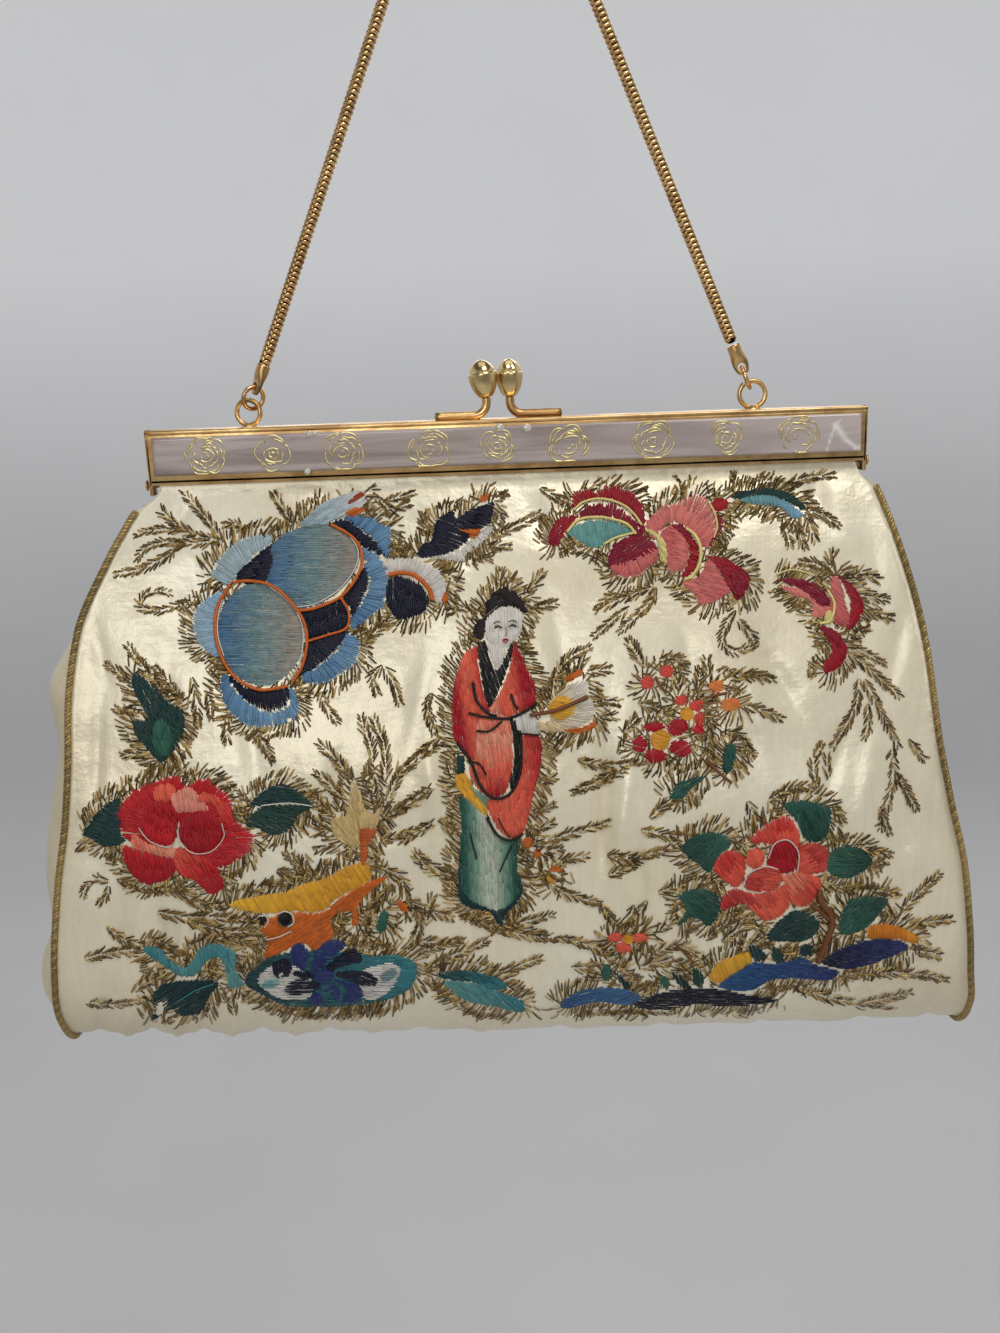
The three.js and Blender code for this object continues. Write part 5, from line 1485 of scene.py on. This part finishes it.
def rose_lines(kind, turn):
    """Lines of one rose in a circle of radius one: outer petals, five inner ones and arcs in its heart."""
    lines = []
    add = lambda r, a: lines.append(np.stack([r * np.cos(a), r * np.sin(a)], 1))
    petals, spread, arcs = (5, 1.12, 4) if kind == "open" else (4, 1.3, 5)
    for k in range(petals):
        a = turn + math.tau * k / petals + np.linspace(-0.62, 0.62, 15) * spread
        u = np.linspace(-1, 1, 15)
        r = 0.66 + 0.34 * np.sqrt(1 - 0.92 * u ** 2) + 0.03 * np.sin(5 * u + k)
        add(r, a)
        inner = slice(2, 13) if k % 2 else slice(1, 9)
        add((r - 0.13 - 0.05 * np.cos(3 * u))[inner], a[inner])
    for k in range(5):
        u = np.linspace(-1, 1, 13)
        r = 0.40 + 0.21 * np.sqrt(1 - 0.9 * u ** 2) + 0.03 * np.sin(6 * u + k)
        add(r, turn + 0.5 + math.tau / 5 * k + np.linspace(-0.75, 0.75, 13))
    for k in range(arcs):
        a = turn + 2.2 * k + np.linspace(-1.25, 1.25, 12)
        r = 0.10 + 0.085 * k
        lines.append(np.stack([r * np.cos(a) * 1.15, r * np.sin(a) - 0.06], 1))
    if kind == "open":
        for k in range(3):
            x = np.linspace(-0.28 + 0.1 * k, 0.34 + 0.06 * k, 8)
            lines.append(np.stack([x, 0.42 + 0.13 * k - 0.4 * (x - 0.05) ** 2 + 0.02 * np.sin(9 * x)], 1))
    return lines


FOIL_WIDTH, FOIL_FLAT = 0.22, 0.6    # radius of a foil line and its flattening


def foil_roses(face, name, mirror):
    """Roses drawn in raised foil on a bar, with the worn lines cut short or missing."""
    parts = Parts()
    local = np.random.default_rng(21)
    face_y = face * (PEARL_FACE + 0.01)
    for k, (x, z, size, kind, worn) in enumerate(ROSES):
        for line in rose_lines(kind, 0.5 + 0.9 * k):
            if local.uniform() < worn * 0.5:
                continue
            if local.uniform() <= worn:
                line = line[:max(6, int(len(line) * local.uniform(0.5, 0.9)))]
            line = line * size
            step = np.arange(len(line))
            taper = np.minimum(1, np.minimum(step + 1, len(line) - step) / 3)
            wide = FOIL_WIDTH * (1 + 0.25 * np.sin(step * 0.9 + k)) * taper
            squeeze = np.clip(line[:, 1], PEARL_FOOT + 0.4 - z, PEARL_TOP - 0.4 - z)
            path = np.stack([mirror * (x + line[:, 0]), np.full(len(line), face_y), z + squeeze], 1)
            parts.add(*tube(path, wide, 6, (0, 1, 0), flat=FOIL_FLAT))
    return parts.build(name, FOIL, "gold_foil")


foil_roses(-1, "foil_roses_front", 1)
foil_roses(1, "foil_roses_back", -1)


# Clear dots on the front bar: x, z and radius
DOTS = [(-2.0, -1.9, 0.95), (4.3, -2.2, 1.0), (-46.3, -1.9, 0.8), (-44.9, -1.8, 0.6), (-47.1, -10.5, 0.8)]


def dots():
    n = Nodes("clear_dot")
    n.set(Base_Color=n.ramp(n.noise(600.0), [(0.3, (0.48, 0.42, 0.34)), (0.7, (0.74, 0.70, 0.62))]),
          Roughness=0.12, Coat_Weight=1.0, Specular_IOR_Level=0.8)
    parts = Parts()
    dome, faces = lathe([(1.0, 0.0), (0.97, 0.12), (0.8, 0.26), (0.5, 0.35), (0.02, 0.38)], 20)
    for x, z, size in DOTS:
        points = dome * [size, size, 1.0]
        parts.add(np.stack([x + points[:, 0], -PEARL_FACE - points[:, 2] + 0.05, z + points[:, 1]], 1), faces)
    return parts.build("clear_dots", n.material, "pearl_plastic")


dots()

# Rivets of the hinge, turned about their own length
RIVET = [(0.6, -2.6), (0.6, 0.0), (1.3, 0.0), (1.28, 0.2), (1.0, 0.42), (0.5, 0.5), (0.02, 0.5)]
HINGE_Z = -FRAME_HEIGHT + 2.0 - 2.2
for side, name in ((-1, "left"), (1, "right")):
    parts = Parts()
    points, faces = lathe(RIVET, 24)
    x = side * (BACK_REACH + SEAT + points[:, 2])
    parts.add(np.stack([x, points[:, 0] * side, HINGE_Z + points[:, 1]], 1), faces)
    parts.build(f"rivet_{name}", GILT, "gilt_frame", replaces=[f"hinge_pin_{name}"])

# Acorn knob from foot to tip, as shares of its radius and height
KNOB = [
    (0.02, 0.0), (0.42, 0.0), (0.48, 0.015), (0.56, 0.05), (0.69, 0.12), (0.84, 0.24), (0.93, 0.36),
    (0.98, 0.48), (1.00, 0.57), (1.01, 0.61), (1.00, 0.635), (0.965, 0.65), (0.91, 0.652),
    (0.895, 0.665), (0.88, 0.70), (0.84, 0.745), (0.75, 0.81), (0.62, 0.875), (0.46, 0.93),
    (0.30, 0.965), (0.14, 0.99), (0.02, 1.0),
]
for name, x, y, tilt, scale, flute, flutes in (("front", FRONT_STEM, -STEM_DEPTH, -8, 1.0, 0.0, 0),
                                               ("back", BACK_STEM, STEM_DEPTH, 0, 0.92, 0.045, 6)):
    profile = [(out * KNOB_RADIUS * scale, up * KNOB_HEIGHT) for out, up in KNOB]
    points, faces = lathe(profile, 72, flute, flutes)
    c, s = cos_sin(tilt)
    out, deep, up = points.T
    leant = np.stack([out * c + up * s, deep, up * c - out * s], 1)
    make_object(f"acorn_knob_{name}", leant + [x, y, KNOB_FOOT], faces, CLASP, "gilt_clasp", [f"knob_{name}"])

# Rings, caps, chain
# End cap: height as a share of its length, then its half width and half depth as shares of the widest
CAP = [(0.0, 0.34, 0.20), (0.07, 0.70, 0.34), (0.26, 0.96, 0.38), (0.43, 1.0, 0.46),
       (0.60, 0.96, 0.72), (0.78, 0.88, 0.86), (1.0, 0.84, 0.84)]
CAP_SIDES = 32
EYELET, EYELET_UP = 0.95, 1.9    # radius of a cap's eyelet and its height above the cap's foot


def leg(end):
    """Places along a leg of the handle: start, direction, ring, cap and chain distances."""
    side = end["side"]
    ring_at = end["eye"] - (EYE_WIRE + RING_WIRE + SEAT) + RING_RADIUS - end["slack"]
    cap_at = ring_at + RING_RADIUS + EYELET - RING_WIRE - SEAT - EYELET_UP
    start = np.array([HANDLE_OFFSET + side * EYE_SPREAD, MIDDLE_DEPTH, end["eye"] + EYE_WIRE - 0.2])
    lean = -side * LEG_LEAN
    along = np.array([math.sin(lean), 0, math.cos(lean)])
    turn = math.radians(end["ring_turn"])
    sideways = np.array([math.cos(lean), 0, -math.sin(lean)])
    a = math.cos(turn) * sideways + math.sin(turn) * np.array([0, 1.0, 0])
    b = -math.sin(turn) * sideways + math.cos(turn) * np.array([0, 1.0, 0])
    return {"start": start, "along": along, "a": a, "b": b, "ring": ring_at, "cap": cap_at,
            "chain": cap_at + CAP_LENGTH + SEAT}


def end_cap(place, name):
    """A crimped cap: round at the chain, pressed flat round its eyelet."""
    up, wide, deep = (row[:, None] for row in smooth_line(CAP, 4).T)
    half = CAP_WIDTH / 2
    angle = np.linspace(0, math.tau, CAP_SIDES, endpoint=False)
    outer = np.stack([half * deep * np.cos(angle), half * wide * np.sin(angle),
                      np.repeat(up * CAP_LENGTH, CAP_SIDES, 1)], -1).reshape(-1, 3)
    bm = bmesh.new()
    verts = [bm.verts.new(p) for p in outer]
    for quad in grid_faces(len(up), CAP_SIDES, wrap=True):
        bm.faces.new([verts[i] for i in quad])
    bm.faces.new(verts[CAP_SIDES - 1::-1])
    bm.faces.new(verts[-CAP_SIDES:])
    bmesh.ops.recalc_face_normals(bm, faces=bm.faces[:])
    hole = bmesh.new()
    bmesh.ops.create_cone(hole, cap_ends=True, segments=28, radius1=EYELET, radius2=EYELET, depth=8,
                          matrix=Matrix.Translation((0, 0, EYELET_UP)) @ Matrix.Rotation(math.pi / 2, 4, "Y"))
    both = []
    for label, shape in ((name, bm), ("cutter", hole)):
        mesh = bpy.data.meshes.new(label)
        shape.to_mesh(mesh)
        shape.free()
        both.append(bpy.data.objects.new(label, mesh))
        bpy.context.collection.objects.link(both[-1])
    cap, cutter = both
    cut = cap.modifiers.new("eyelet", "BOOLEAN")
    cut.operation, cut.object, cut.solver = "DIFFERENCE", cutter, "EXACT"
    bpy.context.view_layer.update()
    bm = bmesh.new()
    bm.from_mesh(cap.evaluated_get(bpy.context.evaluated_depsgraph_get()).to_mesh())
    points, faces = mesh_arrays(bm)
    for done in both:
        bpy.data.objects.remove(done)
    # painted shade: the crimp seam down each flat side of the cap is darkened towards near-black
    around = np.abs(np.abs(np.degrees(np.arctan2(points[:, 1], points[:, 0]))) - 90)
    seam = np.exp(-(around / 16) ** 2) * np.clip((0.66 - points[:, 2] / CAP_LENGTH) / 0.3, 0, 1)
    axes = np.stack([place["a"], place["b"], place["along"]])
    return make_object(name, place["start"] + (points + [0, 0, place["cap"]]) @ axes, faces, CHAIN_METAL,
                       "gilt_chain", [f"end_{name}"], attributes={"groove": 0.85 * seam})


legs = [leg(end) for end in ENDS]
for place, end, name in zip(legs, ENDS, ("left", "right")):
    parts = Parts()
    centre = place["start"] + place["along"] * place["ring"]
    parts.add(*ring(centre, RING_RADIUS, RING_WIRE, place["b"], 2.2, math.radians(356)))
    parts.build(f"link_ring_{name}", CHAIN_METAL, "gilt_chain", replaces=[f"jump_ring_{name}"])
    end_cap(place, f"cap_{name}")

# The chain's middle: up one leg, round the bend and down the other
meet = (legs[0]["start"][2] + legs[1]["start"][2]) / 2 + EYE_SPREAD / math.tan(LEG_LEAN)
bend_z = meet - CHAIN_BEND / math.sin(LEG_LEAN)
bend_angle = np.linspace(LEG_LEAN - math.pi / 2, math.pi / 2 - LEG_LEAN, 24)
bend = np.stack([HANDLE_OFFSET + CHAIN_BEND * np.sin(bend_angle), np.full(24, MIDDLE_DEPTH),
                 bend_z + CHAIN_BEND * np.cos(bend_angle)], 1)
first, last = (place["start"] + place["along"] * place["chain"] for place in legs)
share = np.linspace(0, 1, 60, endpoint=False)[:, None]
chain_line = np.concatenate([first + (bend[0] - first) * share, bend,
                             (bend[-1] + (last - bend[-1]) * share)[1:], [last]])

SCALE_ROWS = 4                       # rows of scales round the chain
SCALE_HALF = math.radians(52)        # half of the angle that a scale covers
CHAIN_START, CHAIN_TWIST = -118, 56  # angle of the first row and how far the rows turn, in degrees
CORE = 0.68                          # radius of the core as a share of the chain's


def snake_chain():
    """Curved scales in rows round a core painted near-black as shade, each row half a scale on from the next,
    the scales' edges painted dark as shade too.
    """
    run = distances(lengths(chain_line))
    count = int(run[-1] / SCALE_PITCH)
    radius = CHAIN / 2
    parts = Parts()
    at = lambda s: sample(chain_line, run, s)
    # the core is painted near-black all over as shade between the scales
    points, faces = tube(at(np.linspace(0.4, run[-1] - 0.4, 240)), radius * CORE, 10, (0, 1, 0))
    parts.add(points, faces, groove=np.ones(len(points)))
    u = np.linspace(-1, 1, 8)[:, None]
    v = np.linspace(0, 1, 9)[None, :]
    faces = grid_faces(8, 9)[:, ::-1]
    dome = np.sqrt(np.clip(np.sin(math.pi * (0.02 + 0.96 * v)), 0, 1)) * (1 - 0.30 * u ** 4)
    r = radius * (0.66 + 0.34 * dome)
    along = (SCALE_PITCH * (-0.36 + 0.96 * v - 0.34 * u ** 2))[..., None]
    # painted shade: each scale darkens to near-black towards the edges where it tucks under its neighbours
    groove = np.broadcast_to(np.clip(np.abs(v - 0.5) * 2 - 0.62, 0, 0.38) / 0.38, r.shape).ravel()
    depth = np.array([0, 1.0, 0])
    for row in range(SCALE_ROWS):
        s = (np.arange(count) + (0.5 if row % 2 else 0.0) + 0.25) * SCALE_PITCH
        s = s[(s > 0.2) & (s < run[-1] - 0.2)]
        ahead = unit(at(s + 0.3) - at(s - 0.3))
        middle = np.radians(CHAIN_START + CHAIN_TWIST * s / run[-1] + 90 * row)
        for c, t, w, turn in zip(at(s), ahead, np.cross(ahead, depth), middle):
            angle = turn + u * SCALE_HALF
            out = (r * np.cos(angle))[..., None] * w + (r * np.sin(angle))[..., None] * depth
            parts.add((c + along * t + out).reshape(-1, 3), faces, groove=groove)
    return parts.build("scaled_snake_chain", CHAIN_METAL, "gilt_chain", replaces=["snake_chain"])


snake_chain()

# Stage, light, camera
FLOOR_DROP = 0.75


def stage():
    """A turned pale backdrop that glows as a light source, its glow brighter with height and dimmer behind
    the camera.
    """
    n = Nodes("pale_backdrop")
    n.set(Base_Color=n.ramp(n.noise(3.0, 2.0), [(0.3, 0.50), (0.7, 0.54)]), Roughness=0.9)
    place = n.node("ShaderNodeSeparateXYZ", {"Vector": n.position})
    height = n.math("ADD", place.outputs["Z"], FLOOR_DROP)
    # painted light: the backdrop's glow brightens with height like a wall lit from above
    grey = n.ramp(height, [(0.05, (0.27, 0.27, 0.275)), (0.85, (0.97, 0.98, 1.0))])
    behind = n.ramp(n.math("MULTIPLY_ADD", place.outputs["Y"], 0.25, 0.5), [(0.02, 0.2), (0.42, 1.0)])
    n.set(Emission_Color=n.mix(1.0, grey, behind, "MULTIPLY"), Emission_Strength=0.38)
    profile = [(0.00001, 0.0), (1.0, 0.0), (2.0, 0.02), (2.6, 0.2), (3.0, 0.6), (3.2, 1.2), (3.25, 3.0)]
    points, faces = lathe(smooth_line(profile, 8), 64)
    mesh = bpy.data.meshes.new("backdrop")
    mesh.from_pydata([(x, y, z - FLOOR_DROP) for x, y, z in points], [], [tuple(f[::-1]) for f in faces])
    mesh.polygons.foreach_set("use_smooth", np.ones(len(faces), bool))
    mesh.materials.append(n.material)
    made = bpy.data.objects.new("backdrop", mesh)
    bpy.context.collection.objects.link(made)


def area_light(name, place, aim, size, power, colour=(1.0, 1.0, 1.0)):
    light = bpy.data.lights.new(name, "AREA")
    light.shape, light.energy, light.color = "RECTANGLE", power, colour
    light.size, light.size_y = size
    made = bpy.data.objects.new(name, light)
    bpy.context.collection.objects.link(made)
    made.location = place
    made.rotation_euler = (Vector(aim) - Vector(place)).to_track_quat("-Z", "Y").to_euler()


stage()
BAG_MIDDLE = (0, 0, -0.2)
area_light("key", (0.40, -0.72, 0.95), BAG_MIDDLE, (0.6, 0.5), 9.0, (1.0, 0.985, 0.95))
area_light("window", (-0.28, -1.25, 0.14), BAG_MIDDLE, (0.55, 0.45), 3.8, (1.0, 0.99, 0.97))
area_light("top", (0.0, 0.1, 1.4), BAG_MIDDLE, (1.2, 1.2), 3.5)
area_light("behind", (0.2, 1.4, 0.4), BAG_MIDDLE, (1.2, 0.8), 4.0)
world = bpy.data.worlds.new("studio")
world.use_nodes = True
background = world.node_tree.nodes["Background"].inputs
background["Color"].default_value = (0.8, 0.83, 0.88, 1.0)
background["Strength"].default_value = 0.12
bpy.context.scene.world = world
bpy.context.scene.view_settings.view_transform = "Standard"

camera_data = bpy.data.cameras.new("camera")
SENSOR = 36.0
camera_data.sensor_width = SENSOR
camera_data.lens = SENSOR * FOCAL / PICTURE[1]
camera_data.clip_start, camera_data.clip_end = 0.01, 20.0
camera = bpy.data.objects.new("camera", camera_data)
bpy.context.collection.objects.link(camera)
pose = Matrix.Identity(4)
for k, axis in enumerate((RIGHT, UP, -FORWARD, metres(EYE))):
    for j in range(3):
        pose[j][k] = axis[j]
camera.matrix_world = pose
bpy.context.scene.camera = camera

bpy.context.view_layer.update()
